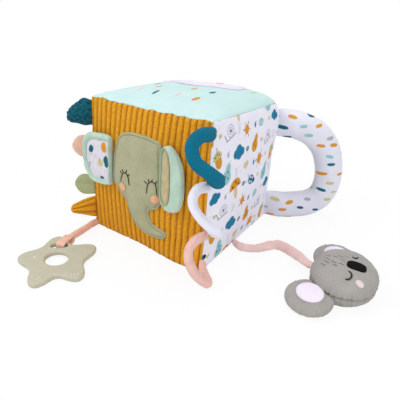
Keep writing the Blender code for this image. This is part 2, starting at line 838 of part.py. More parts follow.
def handle():
    """The padded handle, flat where it is sewn into the seam, and its filling."""
    controls = []
    for out, high in handle_shares:
        spot = handle_axis + handle_outward * (out * handle_reach)
        spot.z = handle_low + high * (handle_top - handle_low)
        controls.append(spot)
    route = smooth_route(controls, handle_stations)
    broad, deep = [], []
    for spot in route:
        out = (Vector(spot) - handle_axis).dot(handle_outward) / handle_reach
        swell = min(1, max(out, 0) / handle_flat_share)
        deep.append(handle_root + (handle_depth / 2 - handle_root) * math.sin(swell * math.pi / 2))
        broad.append(handle_width / 2)
    upright = Vector((0, 0, 1))
    outer = oval_rings(route, broad, deep, upright, handle_sides)
    thin_broad = [half - handle_wall for half in broad]
    thin_deep = [half - handle_wall for half in deep]
    inner = oval_rings(route, thin_broad, thin_deep, upright, handle_sides)
    points, faces = ring_skin(outer + inner[::-1], joined=True)
    place("handle_cover", points, faces, "white_print", handle_axis)
    fill_broad = [half - nest_gap for half in thin_broad]
    fill_deep = [half - nest_gap for half in thin_deep]
    filling = oval_rings(route, fill_broad, fill_deep, upright, handle_sides)[2:-2]
    points, faces = ring_skin(filling)
    place("handle_filling", points, faces, "wadding", handle_axis)


star_lift = strap_loop_wall + touch_gap + nest_gap
star_tilt = math.asin(star_lift / (star_valley_radius + star_slot_distance))
star_arm = Vector((math.cos(star_arm_angle), math.sin(star_arm_angle), 0))
star_across = Vector((-star_arm.y, star_arm.x, 0))
star_centre = Vector((star_centre_x, star_centre_y, 0))


def star_spot(spot, height):
    """A place on the star, which the strap's loop under one arm tips up slightly."""
    along = spot.dot(star_arm)
    rise = touch_gap + (along + star_valley_radius) * math.sin(star_tilt)
    return star_centre + Vector((spot.x, spot.y, rise + height))


def star_radius(turn):
    """The star's outline: rounded arms, not quite evenly spread, and hollow valleys."""
    first = star_tip_turns[0]
    turn = (turn - first) % (2 * math.pi) + first
    tips = star_tip_turns + (first + 2 * math.pi,)
    before = max(tip for tip in tips if tip <= turn)
    after = min(tip for tip in tips if tip > turn)
    share = (turn - before) / (after - before)
    nearest = tips.index(before if share < 1 / 2 else after) % len(star_tip_radii)
    wave = (1 + math.cos(2 * math.pi * share)) / 2
    reach = star_tip_radii[nearest] - star_valley_radius
    return star_valley_radius + reach * wave ** star_arm_power


star_arm_power = 1.15
star_edge_shares = ((1, 0), (0.3, 0.3), (0, 1))
bar_edge = star_arm * (star_slot_distance + star_slot_width / 2) + star_across * strap_loop_aside
loop_away = Vector((math.cos(strap_loop_turn), math.sin(strap_loop_turn), 0))
loop_beside = Vector((-loop_away.y, loop_away.x, 0))
star_turn_axis = star_centre + bar_edge + loop_away * (strap_loop_length / 2 - strap_loop_in_slot)


def star_ring(on_outline, inset, height):
    """One ring of the star, on its outline or round its hole."""
    ring = []
    for side in range(star_sides):
        turn = 2 * math.pi * side / star_sides
        radius = star_radius(turn) - inset if on_outline else star_hole_radius + inset
        ring.append(star_spot(Vector((math.cos(turn), math.sin(turn), 0)) * radius, height))
    return ring


def star_teether():
    """The soft star, with its round hole and the slot that the strap goes through."""
    lower = [(inset * star_rounding, height * star_rounding) for inset, height in star_edge_shares]
    upper = [(inset, star_thickness - height) for inset, height in lower[::-1]]
    rings = [star_ring(True, inset, height) for inset, height in lower + upper]
    rings += [star_ring(False, inset, height) for inset, height in upper[::-1] + lower[::-1]]
    points, faces = ring_skin(rings, joined=True)
    star = place("star_teether", points, faces, "silicone", star_turn_axis)
    slot_rings = []
    for height in (-cut_overrun, star_thickness + cut_overrun):
        ring = []
        for side in range(turned_sides):
            turn = 2 * math.pi * (side + 1 / 2) / turned_sides
            straight = (star_slot_length - star_slot_width) / 2
            aside = math.copysign(straight, math.cos(turn)) + math.cos(turn) * star_slot_width / 2
            along = star_slot_distance + math.sin(turn) * star_slot_width / 2
            ring.append(star_spot(star_across * aside + star_arm * along, height))
        slot_rings.append(ring)
    points, faces = ring_skin(slot_rings)
    cut(star, place("slot_cutter", points, faces, "silicone"))


strap_loop_corner_share = 0.25
strap_loop_corner_steps = 5


def strap_loop():
    """The end of the star's strap, folded round the bar and sewn to itself."""
    low = touch_gap + strap_loop_wall
    high = star_spot(bar_edge + loop_away * (strap_loop_length / 2), star_thickness).z + nest_gap
    near = -strap_loop_in_slot
    far = near + strap_loop_length
    corner = strap_loop_corner_share * (high - low)
    inner, outer = [], []
    quarters = ((far, high, 0), (near, high, 1), (near, low, 2), (far, low, 3))
    for run, level, quarter in quarters:
        centre_run = run - math.copysign(corner, run - (near + far) / 2)
        centre_level = level - math.copysign(corner, level - (low + high) / 2)
        for step in range(strap_loop_corner_steps):
            turn = (quarter + step / (strap_loop_corner_steps - 1)) * math.pi / 2
            for outline, radius in ((inner, corner), (outer, corner + strap_loop_wall)):
                outline.append((centre_run + math.cos(turn) * radius,
                                centre_level + math.sin(turn) * radius))
    rings = []
    for outline, side in ((outer, -1), (outer, 1), (inner, 1), (inner, -1)):
        ring = []
        for run, level in outline:
            spot = star_centre + bar_edge + loop_away * run
            spot = spot + loop_beside * (side * strap_loop_width / 2)
            ring.append(Vector((spot.x, spot.y, level)))
        rings.append(ring)
    points, faces = ring_skin(rings, joined=True)
    place("star_strap_loop", points, faces, "pink", Vector(star_strap_route[0]))


# The straps' middle lines, from the seam that each is sewn into to the toy at its end.
star_strap_route = (
    (-72.6 * MM, -75.1 * MM, 5.0 * MM),
    (-72.4 * MM, -84.0 * MM, 4.8 * MM),
    (-71.2 * MM, -93.0 * MM, 4.8 * MM),
    (-70.0 * MM, -102.0 * MM, 4.9 * MM),
    (-69.0 * MM, -111.0 * MM, 5.1 * MM),
    (-68.1 * MM, -119.5 * MM, 5.3 * MM),
)
koala_strap_route = (
    (80.2 * MM, -11.9 * MM, 4.8 * MM),
    (87.0 * MM, -15.5 * MM, 4.8 * MM),
    (95.0 * MM, -15.0 * MM, 4.8 * MM),
    (105.5 * MM, -8.5 * MM, 4.8 * MM),
    (111.5 * MM, 0.5 * MM, 4.8 * MM),
    (117.0 * MM, 9.5 * MM, 4.8 * MM),
    (124.0 * MM, 14.5 * MM, 4.9 * MM),
    (131.5 * MM, 12.5 * MM, 5.5 * MM),
    (139.0 * MM, 9.0 * MM, 6.3 * MM),
    (147.0 * MM, 4.0 * MM, 7.5 * MM),
    (155.0 * MM, -2.5 * MM, 9.0 * MM),
    (161.0 * MM, -8.5 * MM, 10.5 * MM),
    (169.1 * MM, -13.6 * MM, 11.6 * MM),
)
strap_spacing = 9 * MM
strap_bevel_steps = 2
# How far before the first point the rounded end starts, and how wide it is there.
strap_end_shares = ((0.94, 0.34), (0.6, 0.8))


def strap(name, route, rounded_far_end):
    """A narrow padded strap: a tube along a smooth route, rounded where it is sewn in."""
    length = sum((Vector(b) - Vector(a)).length for a, b in zip(route, route[1:]))
    spots = [Vector(spot) for spot in smooth_route(route, round(2 * length / strap_spacing))]
    radius = strap_diameter / 2
    before = (spots[0] - spots[1]).normalized()
    after = (spots[-1] - spots[-2]).normalized()
    stations = [(spots[0] + before * (radius * back), share) for back, share in strap_end_shares]
    stations += [(spot, 1) for spot in spots]
    if rounded_far_end:
        ends = strap_end_shares[::-1]
        stations += [(spots[-1] + after * (radius * ahead), share) for ahead, share in ends]
    data = bpy.data.curves.new(name, "CURVE")
    data.dimensions = "3D"
    data.bevel_depth = radius
    data.bevel_resolution = strap_bevel_steps
    data.use_fill_caps = True
    line = data.splines.new("POLY")
    line.points.add(len(stations) - 1)
    for point, (spot, share) in zip(line.points, stations):
        point.co = (*(spot - spots[0]), 1)
        point.radius = share
    data.materials.append(fabric("pink"))
    made = bpy.data.objects.new(name, data)
    made.location = spots[0]
    bpy.context.scene.collection.objects.link(made)


koala_pivot = Vector(koala_strap_route[-1])
koala_dome_power = 2.5
koala_upper_rings = 6
koala_lower_rings = 4


def koala_place(forward, aside, level, floor=0.0):
    """A place on the koala's head, which leans a little to its near side."""
    high = level - koala_belly_height
    lean_y = aside * math.cos(koala_tilt) - high * math.sin(koala_tilt)
    lean_z = high * math.cos(koala_tilt) + aside * math.sin(koala_tilt)
    return Vector((koala_x + forward, koala_y + lean_y, max(koala_belly_height + lean_z, floor)))


def koala_ring(level, inset, floor=0.0):
    """A ring round the head at a level; inset is how far it lies inside the fabric."""
    above = koala_height - koala_belly_height - inset
    below = koala_belly_height + koala_bed_cut - inset
    high = (level - koala_belly_height) / (above if level > koala_belly_height else below)
    share = max(1 - abs(high) ** koala_dome_power, 0) ** (1 / koala_dome_power)
    ring = []
    for side in range(koala_sides):
        turn = 2 * math.pi * side / koala_sides
        forward = (koala_length / 2 - inset) * share * math.cos(turn)
        aside = (koala_breadth / 2 - inset) * share * math.sin(turn)
        ring.append(koala_place(forward, aside, level, floor))
    return ring


def koala_levels(inset, upper):
    """The levels of the rings above or below the head's widest one."""
    count = koala_upper_rings if upper else koala_lower_rings
    above = koala_height - koala_belly_height - inset
    below = koala_belly_height + koala_bed_cut - inset
    reach = above if upper else -below
    turns = [math.pi / 2 * step / (count + 1) for step in range(1, count + 1)]
    return [koala_belly_height + reach * math.sin(turn) ** (2 / koala_dome_power) for turn in turns]


def koala_half(inset, upper, seam, floor=0.0):
    """Rings of the face or the back of the head, from its seam to its middle."""
    levels = [seam]
    if upper:
        levels.append(koala_belly_height)
        levels += koala_levels(inset, True)
        tip = koala_height - inset
    else:
        levels += [level for level in koala_levels(inset, False) if level < seam - touch_gap]
        tip = inset - koala_bed_cut
    rings = [koala_ring(level, inset, floor) for level in levels]
    return rings + [[koala_place(0, 0, tip, floor)]]


def koala_head():
    """The face and back of the head, sewn at a low seam, and the filling inside."""
    seam = koala_seam_height + touch_gap / 2
    rings = koala_half(koala_skin, True, seam)[::-1] + koala_half(0, True, seam)
    points, faces = ring_skin(rings)
    place("koala_face_panel", points, faces, "koala_grey", koala_pivot)
    seam = koala_seam_height - touch_gap / 2
    rings = koala_half(koala_skin, False, seam, koala_skin)[::-1] + koala_half(0, False, seam)
    points, faces = ring_skin(rings)
    place("koala_back_panel", points, faces, "koala_grey", koala_pivot)
    inset = koala_skin + nest_gap
    lower = koala_half(inset, False, koala_seam_height, inset)
    upper = koala_half(inset, True, koala_seam_height, inset)
    points, faces = ring_skin(lower[::-1] + upper[1:])
    place("koala_filling", points, faces, "wadding", koala_pivot)


def koala_cutter(name):
    """The head's outside and a little more, to shape what is sewn on beside it."""
    seam = koala_seam_height
    lower = koala_half(-nest_gap, False, seam, -cut_overrun)
    upper = koala_half(-nest_gap, True, seam, -cut_overrun)
    points, faces = ring_skin(lower[::-1] + upper[1:])
    return place(name, points, faces, "koala_grey")


koala_ear_power = 2.3
# The size of the ears' rings and, for their patches, of the rings inside the patch.
ear_ring_shares = (0.35, 0.66, 0.88, 0.985)
patch_ring_shares = (0.55, 1.0)


def ear_rise(share):
    """Half of an ear's thickness where its ring has this share of its radius."""
    return koala_ear_thickness / 2 * (1 - share ** koala_ear_power) ** (1 / koala_ear_power)


def koala_ear(side_name, ear_forward, ear_aside):
    """A stuffed round ear and its pale patch, both cut to the head beside them."""
    def ring(radius, rise):
        """A ring of the ear; a radius of zero is its middle."""
        spots = []
        for side in range(koala_sides if radius else 1):
            turn = 2 * math.pi * side / koala_sides
            forward = ear_forward + radius * math.cos(turn)
            aside = ear_aside + radius * math.sin(turn)
            spots.append(koala_place(forward, aside, koala_ear_level + rise))
        return spots

    rings = [ring(0, -koala_ear_thickness / 2)]
    for share in ear_ring_shares:
        rings.append(ring(share * koala_ear_radius, -ear_rise(share)))
    rings.append(ring(koala_ear_radius, 0))
    for share in ear_ring_shares[::-1]:
        rings.append(ring(share * koala_ear_radius, ear_rise(share)))
    rings.append(ring(0, koala_ear_thickness / 2))
    points, faces = ring_skin(rings)
    ear_made = place("koala_" + side_name + "_ear", points, faces, "koala_grey", koala_pivot)
    cut(ear_made, koala_cutter(side_name + "_ear_cutter"))
    size = koala_patch_radius / koala_ear_radius
    low, high = [], []
    for share in patch_ring_shares:
        surface = ear_rise(share * size) + nest_gap
        low.append(ring(share * koala_patch_radius, surface))
        high.append(ring(share * koala_patch_radius, surface + koala_patch_thickness))
    middle = koala_ear_thickness / 2 + nest_gap
    rings = [ring(0, middle)] + low + high[::-1] + [ring(0, middle + koala_patch_thickness)]
    points, faces = ring_skin(rings)
    name = "koala_" + side_name + "_ear_patch"
    patch = place(name, points, faces, "white_velour", koala_pivot)
    cut(patch, koala_cutter(side_name + "_patch_cutter"))


nose_ring_shares = (0.4, 0.75, 0.95, 1.0)
nose_round_power = 3
nose_edge_share = 0.08


def koala_nose():
    """The padded nose, which follows the face under it."""
    def dome_level(forward, aside):
        """The face's level under a place."""
        spread = math.hypot(forward / (koala_length / 2), aside / (koala_breadth / 2))
        above = koala_height - koala_belly_height
        return koala_belly_height + above * (1 - spread ** koala_dome_power) ** (1 / koala_dome_power)

    def ring(share, rise):
        """A ring of the nose, a rounded rectangle in outline."""
        spots = []
        for side in range(koala_sides if share else 1):
            turn = 2 * math.pi * side / koala_sides
            squared = abs(math.cos(turn)) ** nose_round_power + abs(math.sin(turn)) ** nose_round_power
            size = share / squared ** (1 / nose_round_power)
            forward = koala_nose_forward + koala_nose_length / 2 * size * math.cos(turn)
            aside = koala_nose_aside + koala_nose_breadth / 2 * size * math.sin(turn)
            level = dome_level(forward, aside) + rise
            spots.append(koala_place(forward, aside, level))
        return spots

    rings = [ring(0, nest_gap)]
    rings += [ring(share, nest_gap) for share in nose_ring_shares]
    for share in nose_ring_shares[::-1]:
        rise = koala_nose_thickness * math.sqrt(max(1 - share ** nose_round_power, nose_edge_share))
        rings.append(ring(share, nest_gap + rise))
    rings.append(ring(0, nest_gap + koala_nose_thickness))
    points, faces = ring_skin(rings)
    place("koala_nose", points, faces, "nose_black", koala_pivot)


cloud_flat_share = 0.5
cloud_lobe_share = 0.13
cloud_lobes = 3
cloud_ring_shares = (0.34, 0.67, 1.0)


def top_cloud():
    """The cloud sewn on the top panel, which follows its crown."""
    def ring(share, height):
        """A ring of the cloud; its middle is one point."""
        spots = []
        for side in range(cloud_sides if share else 1):
            turn = 2 * math.pi * side / cloud_sides
            size = cloud_radius * share * (1 + cloud_lobe_share * abs(math.sin(cloud_lobes * turn)))
            x = cloud_x + size * math.cos(turn)
            y = cloud_y + size * cloud_flat_share * math.sin(turn)
            rise = (1 - abs(x / half_side) ** crown_power) * (1 - abs(y / half_side) ** crown_power)
            spots.append(Vector((x, y, block_middle.z + half_side + top_crown * rise + height)))
        return spots

    low = [ring(share, nest_gap) for share in cloud_ring_shares]
    high = [ring(share, nest_gap + cloud_thickness) for share in cloud_ring_shares]
    rings = [ring(0, nest_gap)] + low + high[::-1] + [ring(0, nest_gap + cloud_thickness)]
    points, faces = ring_skin(rings)
    place("top_cloud", points, faces, "white_print")


def build():
    """Make every piece of the block."""
    clear_scene()
    panel("top", "mint")
    panel("front", "corduroy")
    panel("right", "white_print")
    panel("back", "mint")
    panel("left", "mint")
    panel("bottom", "mint")
    foam_core()
    foam_plug()
    half_capsule("rattle_lower_shell", -1)
    half_capsule("rattle_upper_shell", 1)
    rattle_ball()
    elephant_head()
    cheek("elephant_left_cheek", 6, -0.5, 1)
    cheek("elephant_right_cheek", 6, 0.82, 1)
    left_fold = elephant_edge_shares[5][0][0] * elephant_height
    right_fold = elephant_edge_shares[5][1][0] * elephant_height
    ear("left", -1, left_fold, left_ear_middle, left_ear_height, left_ear_shares,
        left_ear_centre_shares, left_window_shares, left_window_size_shares, "white_print")
    ear("right", 1, right_fold, right_ear_middle, right_ear_height, right_ear_shares,
        right_ear_centre_shares, right_window_shares, right_window_size_shares, "sage")
    padded_loop("teal", "teal", loop_width, teal_loop_top, teal_loop_shares)
    padded_loop("white", "white_velour", white_loop_width, white_loop_top, white_loop_shares)
    padded_loop("pink", "pink", pink_loop_width, pink_loop_top, pink_loop_shares)
    tag("flower_tag", "dark_teal", flower_turn, flower_middle, flower_reach, flower_thickness,
        flower_outline, flower_droop, flower_tuck)
    tag("pink_tab", "pink", tab_turn, pink_tab_middle, tab_reach, tab_thickness, tab_outline,
        tab_droop)
    tag("green_tab", "green", tab_turn, green_tab_middle, tab_reach, tab_thickness, tab_outline,
        tab_droop)
    tag("corduroy_spike", "corduroy", flower_turn, spike_middle, spike_reach, spike_thickness,
        spike_outline, spike_droop, spike_tuck)
    handle()
    star_teether()
    strap_loop()
    strap("star_strap", star_strap_route, False)
    strap("koala_strap", koala_strap_route, True)
    koala_head()
    koala_ear("front", koala_front_ear_forward, koala_front_ear_aside)
    koala_ear("back", koala_back_ear_forward, koala_back_ear_aside)
    koala_nose()
    top_cloud()


build()
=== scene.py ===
"""Looks of a baby's soft activity block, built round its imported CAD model.

A cube of six fabric panels carries a padded elephant, three padded loops, four tags, a
grab handle, a star teether on one strap and a stuffed koala head on another. Metres,
+Z up; the elephant looks along -Y and the printed panel faces +X.
"""

import math

import bmesh
import bpy
import numpy as np
from mathutils import Matrix, Vector


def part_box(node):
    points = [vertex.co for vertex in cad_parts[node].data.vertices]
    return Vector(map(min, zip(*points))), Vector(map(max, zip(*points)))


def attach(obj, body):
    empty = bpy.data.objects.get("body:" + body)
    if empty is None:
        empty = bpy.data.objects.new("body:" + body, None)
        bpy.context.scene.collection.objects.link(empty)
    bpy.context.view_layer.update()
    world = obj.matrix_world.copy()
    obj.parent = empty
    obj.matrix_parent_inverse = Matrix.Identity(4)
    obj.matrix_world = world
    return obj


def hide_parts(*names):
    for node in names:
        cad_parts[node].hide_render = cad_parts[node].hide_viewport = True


MM = 0.001
DEGREE = math.pi / 180
FULL_TURN = 2 * math.pi

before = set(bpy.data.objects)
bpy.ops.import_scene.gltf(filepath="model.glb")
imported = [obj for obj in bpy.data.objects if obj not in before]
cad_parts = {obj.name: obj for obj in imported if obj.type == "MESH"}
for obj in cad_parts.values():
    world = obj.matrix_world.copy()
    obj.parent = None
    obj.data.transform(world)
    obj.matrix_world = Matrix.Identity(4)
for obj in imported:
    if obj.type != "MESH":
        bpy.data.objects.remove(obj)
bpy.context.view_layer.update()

# The block's size, and how far each side stands out once it is stuffed
half_side = 75 * MM
block_middle = np.array((0, 0, 76.5 * MM))
draw_power = 8
crown_power = 2.4
wall_crown = 6.5 * MM
top_crown = 12 * MM
top_power = 3.6
base_crown = 2 * MM
panel_wall = 1.4 * MM
touch_gap = 0.3 * MM

SIDES = {
    "front": ((0, -1, 0), (1, 0, 0), (0, 0, 1), wall_crown),
    "right": ((1, 0, 0), (0, 1, 0), (0, 0, 1), wall_crown),
    "back": ((0, 1, 0), (-1, 0, 0), (0, 0, 1), wall_crown),
    "left": ((-1, 0, 0), (0, -1, 0), (0, 0, 1), wall_crown),
    "top": ((0, 0, 1), (1, 0, 0), (0, 1, 0), top_crown),
    "bottom": ((0, 0, -1), (1, 0, 0), (0, -1, 0), base_crown),
}


UP = np.array((0, 0, 1))


def dye(red, green, blue):
    """A colour for Blender from the 0 to 255 numbers of a colour card."""
    shares = np.array((red, green, blue)) / 255
    linear = np.where(shares <= 0.04045, shares / 12.92, ((shares + 0.055) / 1.055) ** 2.4)
    return (*[float(channel) for channel in linear], 1.0)


MUSTARD = dye(241, 174, 44)
# The corduroy's furrow colour: painted shade that falls between the wales
MUSTARD_FURROW_SHADE = dye(160, 92, 4)
MINT = dye(172, 197, 174)
TOP_MINT = dye(206, 235, 233)
SNOW = dye(234, 234, 246)
SAGE = dye(176, 176, 143)
TEAL = dye(14, 112, 140)
DARK_TEAL = dye(16, 88, 104)
PINK = dye(243, 198, 188)
BLUSH = dye(238, 194, 174)
STRAP_PINK = dye(250, 212, 208)
PEACH = dye(238, 184, 142)
LEAF = dye(170, 177, 131)
KOALA = dye(160, 156, 152)
LILAC = dye(240, 230, 244)
STAR_GREY = dye(191, 187, 166)
NOSE = dye(20, 18, 19)
LASH = dye(50, 38, 30)


# Meshes


def dressed(piece, body, node):
    """Attach a piece to the body it rides on and hide the node of the solid model it shows."""
    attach(piece, body)
    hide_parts(node)


def all_round(count):
    """Even steps of a full turn."""
    return np.linspace(0, FULL_TURN, count, endpoint=False)


def length_so_far(route):
    """How far along a line of points each point lies."""
    return np.concatenate([[0], np.cumsum(np.linalg.norm(np.diff(route, axis=0), axis=1))])


def unit(vectors):
    """Vectors of the same headings, each one long."""
    return vectors / np.linalg.norm(vectors, axis=-1, keepdims=True)


def grid_quads(rows, columns, around=False):
    """Quads over a grid of points, whose last column may join the first."""
    row = np.arange(rows - 1)[:, None]
    column = np.arange(columns if around else columns - 1)[None, :]
    following = (column + 1) % columns
    corners = (
        row * columns + column,
        row * columns + following,
        (row + 1) * columns + following,
        (row + 1) * columns + column,
    )
    return np.stack(np.broadcast_arrays(*corners), -1).reshape(-1, 4)


def grid_rim(rows, columns):
    """The points round the rim of a grid, in order."""
    return np.concatenate([
        np.arange(columns),
        np.arange(1, rows) * columns + columns - 1,
        (rows - 1) * columns + np.arange(columns - 2, -1, -1),
        np.arange(rows - 2, 0, -1) * columns,
    ])


def facing_out(points, faces):
    """The faces of a closed shape, turned over if they point inwards."""
    volume = 0.0
    for face in faces:
        first, second, third = points[face[:, 0]], points[face[:, 1]], points[face[:, 2]]
        volume += np.einsum("ij,ij->", first, np.cross(second, third))
        if face.shape[1] == 4:
            fourth = points[face[:, 3]]
            volume += np.einsum("ij,ij->", first, np.cross(third, fourth))
    return faces if volume > 0 else [face[:, ::-1] for face in faces]


def placed(name, data):
    """A new object in the scene."""
    made = bpy.data.objects.new(name, data)
    bpy.context.scene.collection.objects.link(made)
    return made


def make_piece(name, points, faces, finish, marks=None):
    """A mesh object from arrays of points and faces, with named values on its points.

    marks gives each named value: one number a point, or a colour of three.
    """
    points = np.asarray(points, float).reshape(-1, 3)
    mesh = bpy.data.meshes.new(name)
    listed = [tuple(face) for group in facing_out(points, faces) for face in group.tolist()]
    mesh.from_pydata(points.tolist(), [], listed)
    for mark, values in (marks or {}).items():
        values = np.asarray(values, float)
        if values.size == len(points):
            kept = mesh.attributes.new(mark, "FLOAT", "POINT")
            kept.data.foreach_set("value", values.ravel().astype(np.float32))
        else:
            kept = mesh.attributes.new(mark, "FLOAT_COLOR", "POINT")
            solid = np.concatenate([values.reshape(-1, 3), np.ones((len(points), 1))], 1)
            kept.data.foreach_set("color", solid.ravel().astype(np.float32))
    mesh.shade_smooth()
    mesh.materials.append(finish)
    return placed(name, mesh)


def ring_faces(rings, sides):
    """Faces of a closed skin over rings of points, with one tip point at either end."""
    side = np.arange(sides)
    following = (side + 1) % sides
    last, tip = (rings - 1) * sides, rings * sides
    return [
        grid_quads(rings, sides, around=True),
        np.stack([following, side, np.full(sides, tip)], 1),
        np.stack([last + side, last + following, np.full(sides, tip + 1)], 1),
    ]


def with_tips(rings):
    """The points of rings, with the middles of the first and the last ring."""
    return np.concatenate([rings.reshape(-1, rings.shape[-1]), rings[[0, -1]].mean(1)])


def closed_skin(name, rings, finish, marks=None):
    """A closed piece over rings of points; its two ends are drawn shut to a point."""
    rings = np.asarray(rings, float)
    count, sides = rings.shape[:2]
    kept = {mark: with_tips(np.asarray(values, float).reshape(count, sides, -1))
            for mark, values in (marks or {}).items()}
    return make_piece(name, with_tips(rings), ring_faces(count, sides), finish, kept)


def hoop(name, rings, finish):
    """A closed piece over rings of points, whose last ring joins the first."""
    rings = np.asarray(rings, float)
    count, sides = rings.shape[:2]
    base, side = (count - 1) * sides, np.arange(sides)
    following = (side + 1) % sides
    close = np.stack([base + side, base + following, following, side], 1)
    return make_piece(name, rings, [grid_quads(count, sides, around=True), close], finish)


def two_layer_piece(name, upper, lower, finish):
    """A closed sheet between two grids of points, an upper one and a lower one."""
    rows, columns = upper.shape[:2]
    quads = grid_quads(rows, columns)
    base = rows * columns
    rim = grid_rim(rows, columns)
    following = np.roll(rim, -1)
    edge = np.stack([rim, base + rim, base + following, following], 1)
    points = np.concatenate([upper.reshape(-1, 3), lower.reshape(-1, 3)])
    return make_piece(name, points, [quads, quads[:, ::-1] + base, edge], finish)


def curve_points(knots, share):
    """Points on the smooth curve through four knots, a share of the way from the second."""
    p0, p1, p2, p3 = knots
    pull = 2 * p1 + (p2 - p0) * share
    bend = (2 * p0 - 5 * p1 + 4 * p2 - p3) * share**2
    twist = (3 * p1 - p0 - 3 * p2 + p3) * share**3
    return (pull + bend + twist) / 2


def smooth_line(controls, count, closed=False):
    """Points at even steps along a smooth curve through the controls."""
    knots = np.array(controls, dtype=float)
    if closed:
        knots = np.vstack([knots[-1], knots, knots[0], knots[1]])
    else:
        knots = np.vstack([2 * knots[0] - knots[1], knots, 2 * knots[-1] - knots[-2]])
    share = np.linspace(0, 1, 24, endpoint=False)[:, None]
    fine = [curve_points(four, share) for four in zip(knots, knots[1:], knots[2:], knots[3:])]
    fine = np.concatenate(fine + [knots[-2][None]])
    along = length_so_far(fine)
    wanted = np.linspace(0, along[-1], count + 1 if closed else count)
    even = np.stack([np.interp(wanted, along, fine[:, axis]) for axis in range(fine.shape[1])], 1)
    return even[:-1] if closed else even


def ripple(along, pitch, seed):
    """An uneven wave of about that pitch, from -1 to 1, as fabric gathers at a seam."""
    chance = np.random.default_rng(seed)
    total, highest = 0, 3.2
    for stretch in (0.57, 0.81, 1.0, 1.43, 2.1):
        total = total + np.sin(along / (pitch * stretch) * FULL_TURN + chance.uniform(0, FULL_TURN))
    return total / highest


def turned_from(turn, heading):
    """Turns seen from a heading, from minus half a turn to half a turn."""
    return np.angle(np.exp(1j * (turn - heading)))


def squared_off(turn, power):
    """How far a rounded square reaches at each turn, its sides one away."""
    return (np.abs(np.cos(turn)) ** power + np.abs(np.sin(turn)) ** power) ** (-1 / power)


def rumple(points, pitch, seed):
    """A soft uneven swell over points in space, from about -1 to 1."""
    chance = np.random.default_rng(seed)
    total, waves, highest = 0, 7, 4
    for _ in range(waves):
        heading = chance.normal(size=points.shape[-1])
        heading /= np.linalg.norm(heading)
        wave = points @ heading / (pitch * chance.uniform(0.7, 1.5)) * FULL_TURN
        total = total + np.sin(wave + chance.uniform(0, FULL_TURN))
    return total / highest


# Finishes


def feed(tree, socket, value):
    """Give a socket a value, or link another node's socket to it."""
    if isinstance(value, bpy.types.NodeSocket):
        tree.links.new(value, socket)
    else:
        socket.default_value = value


def add_node(tree, kind, inputs=None, **settings):
    """A node with its settings and what goes into its sockets."""
    node = tree.nodes.new(kind)
    for setting, value in settings.items():
        setattr(node, setting, value)
    for socket, value in (inputs or {}).items():
        feed(tree, node.inputs[socket], value)
    return node


def bare_finish(name, colour, roughness, sheen=0.0, gloss=0.08):
    """A new material, with its node tree and its shader."""
    finish = bpy.data.materials.new(name)
    finish.use_nodes = True
    shader = finish.node_tree.nodes["Principled BSDF"]
    looks = {"Base Color": colour, "Roughness": roughness, "Sheen Weight": sheen,
             "Sheen Roughness": 0.6, "Specular IOR Level": gloss}
    for socket, value in looks.items():
        shader.inputs[socket].default_value = value
    return finish, finish.node_tree, shader


def own_place(tree):
    """Where a point lies in the piece's own coordinates."""
    return add_node(tree, "ShaderNodeTexCoord").outputs["Object"]


def speckle(tree, grain, stretch=(1, 1, 1), detail=3.0):
    """A noise of a given grain in metres, on the piece's own coordinates."""
    scaled = add_node(tree, "ShaderNodeMapping", {"Vector": own_place(tree), "Scale": stretch})
    noise = add_node(tree, "ShaderNodeTexNoise", {
        "Vector": scaled.outputs["Vector"], "Scale": 1 / grain, "Detail": detail})
    return noise.outputs["Fac"]


def spread_out(tree, source, low, high):
    """A value stretched so that low becomes 0 and high becomes 1."""
    node = add_node(tree, "ShaderNodeMapRange", {"From Min": low, "From Max": high, "Value": source})
    return node.outputs["Result"]


def reckon(tree, operation, first, second=0.0):
    """One sum on two values, each of which is a socket or a number."""
    node = add_node(tree, "ShaderNodeMath", {0: first, 1: second}, operation=operation)
    return node.outputs["Value"]


def mixed(tree, share, first, second, blend="MIX"):
    """Two colours mixed by a share, each a socket or a colour."""
    node = add_node(tree, "ShaderNodeMix", {0: share, 6: first, 7: second},
                    data_type="RGBA", blend_type=blend)
    return node.outputs[2]


def point_mark(tree, mark):
    """A named value or colour that the piece's points carry."""
    return add_node(tree, "ShaderNodeAttribute", attribute_name=mark)


def coated(tree, shader, colour, height, depth, strength=1.0):
    """Give a shader its colour and a bump of a given depth in metres."""
    feed(tree, shader.inputs["Base Color"], colour)
    bump = add_node(tree, "ShaderNodeBump", {"Distance": depth, "Strength": strength, "Height": height})
    feed(tree, shader.inputs["Normal"], bump.outputs["Normal"])


def shaded(colour, share):
    """A colour made darker or lighter by a share."""
    return (*[min(channel * share, 1.0) for channel in colour[:3]], 1.0)


def velour(name, colour, grain=0.9 * MM, depth=0.35 * MM, dark=0.8, light=1.08, sheen=0.1):
    """Short-piled velour, brushed lighter here and darker there."""
    finish, tree, shader = bare_finish(name, colour, 0.95, sheen=sheen)
    pile = speckle(tree, grain)
    brushed = speckle(tree, 14 * MM, detail=2.0)
    share = reckon(tree, "ADD", reckon(tree, "MULTIPLY", pile, 0.6),
                   reckon(tree, "MULTIPLY", brushed, 0.4))
    share = spread_out(tree, share, 0.34, 0.66)
    mix = mixed(tree, share, shaded(colour, dark), shaded(colour, light))
    coated(tree, shader, mix, pile, depth)
    return finish


def plush(name, colour):
    """Deep curly plush."""
    finish, tree, shader = bare_finish(name, colour, 0.95, sheen=0.08)
    curls = add_node(tree, "ShaderNodeTexVoronoi", {"Scale": 1 / (2.2 * MM), "Vector": own_place(tree)},
                     feature="SMOOTH_F1").outputs["Distance"]
    mix = mixed(tree, spread_out(tree, curls, 0.1, 0.75), shaded(colour, 1.5), shaded(colour, 0.45))
    coated(tree, shader, mix, curls, 0.8 * MM, 0.8)
    return finish


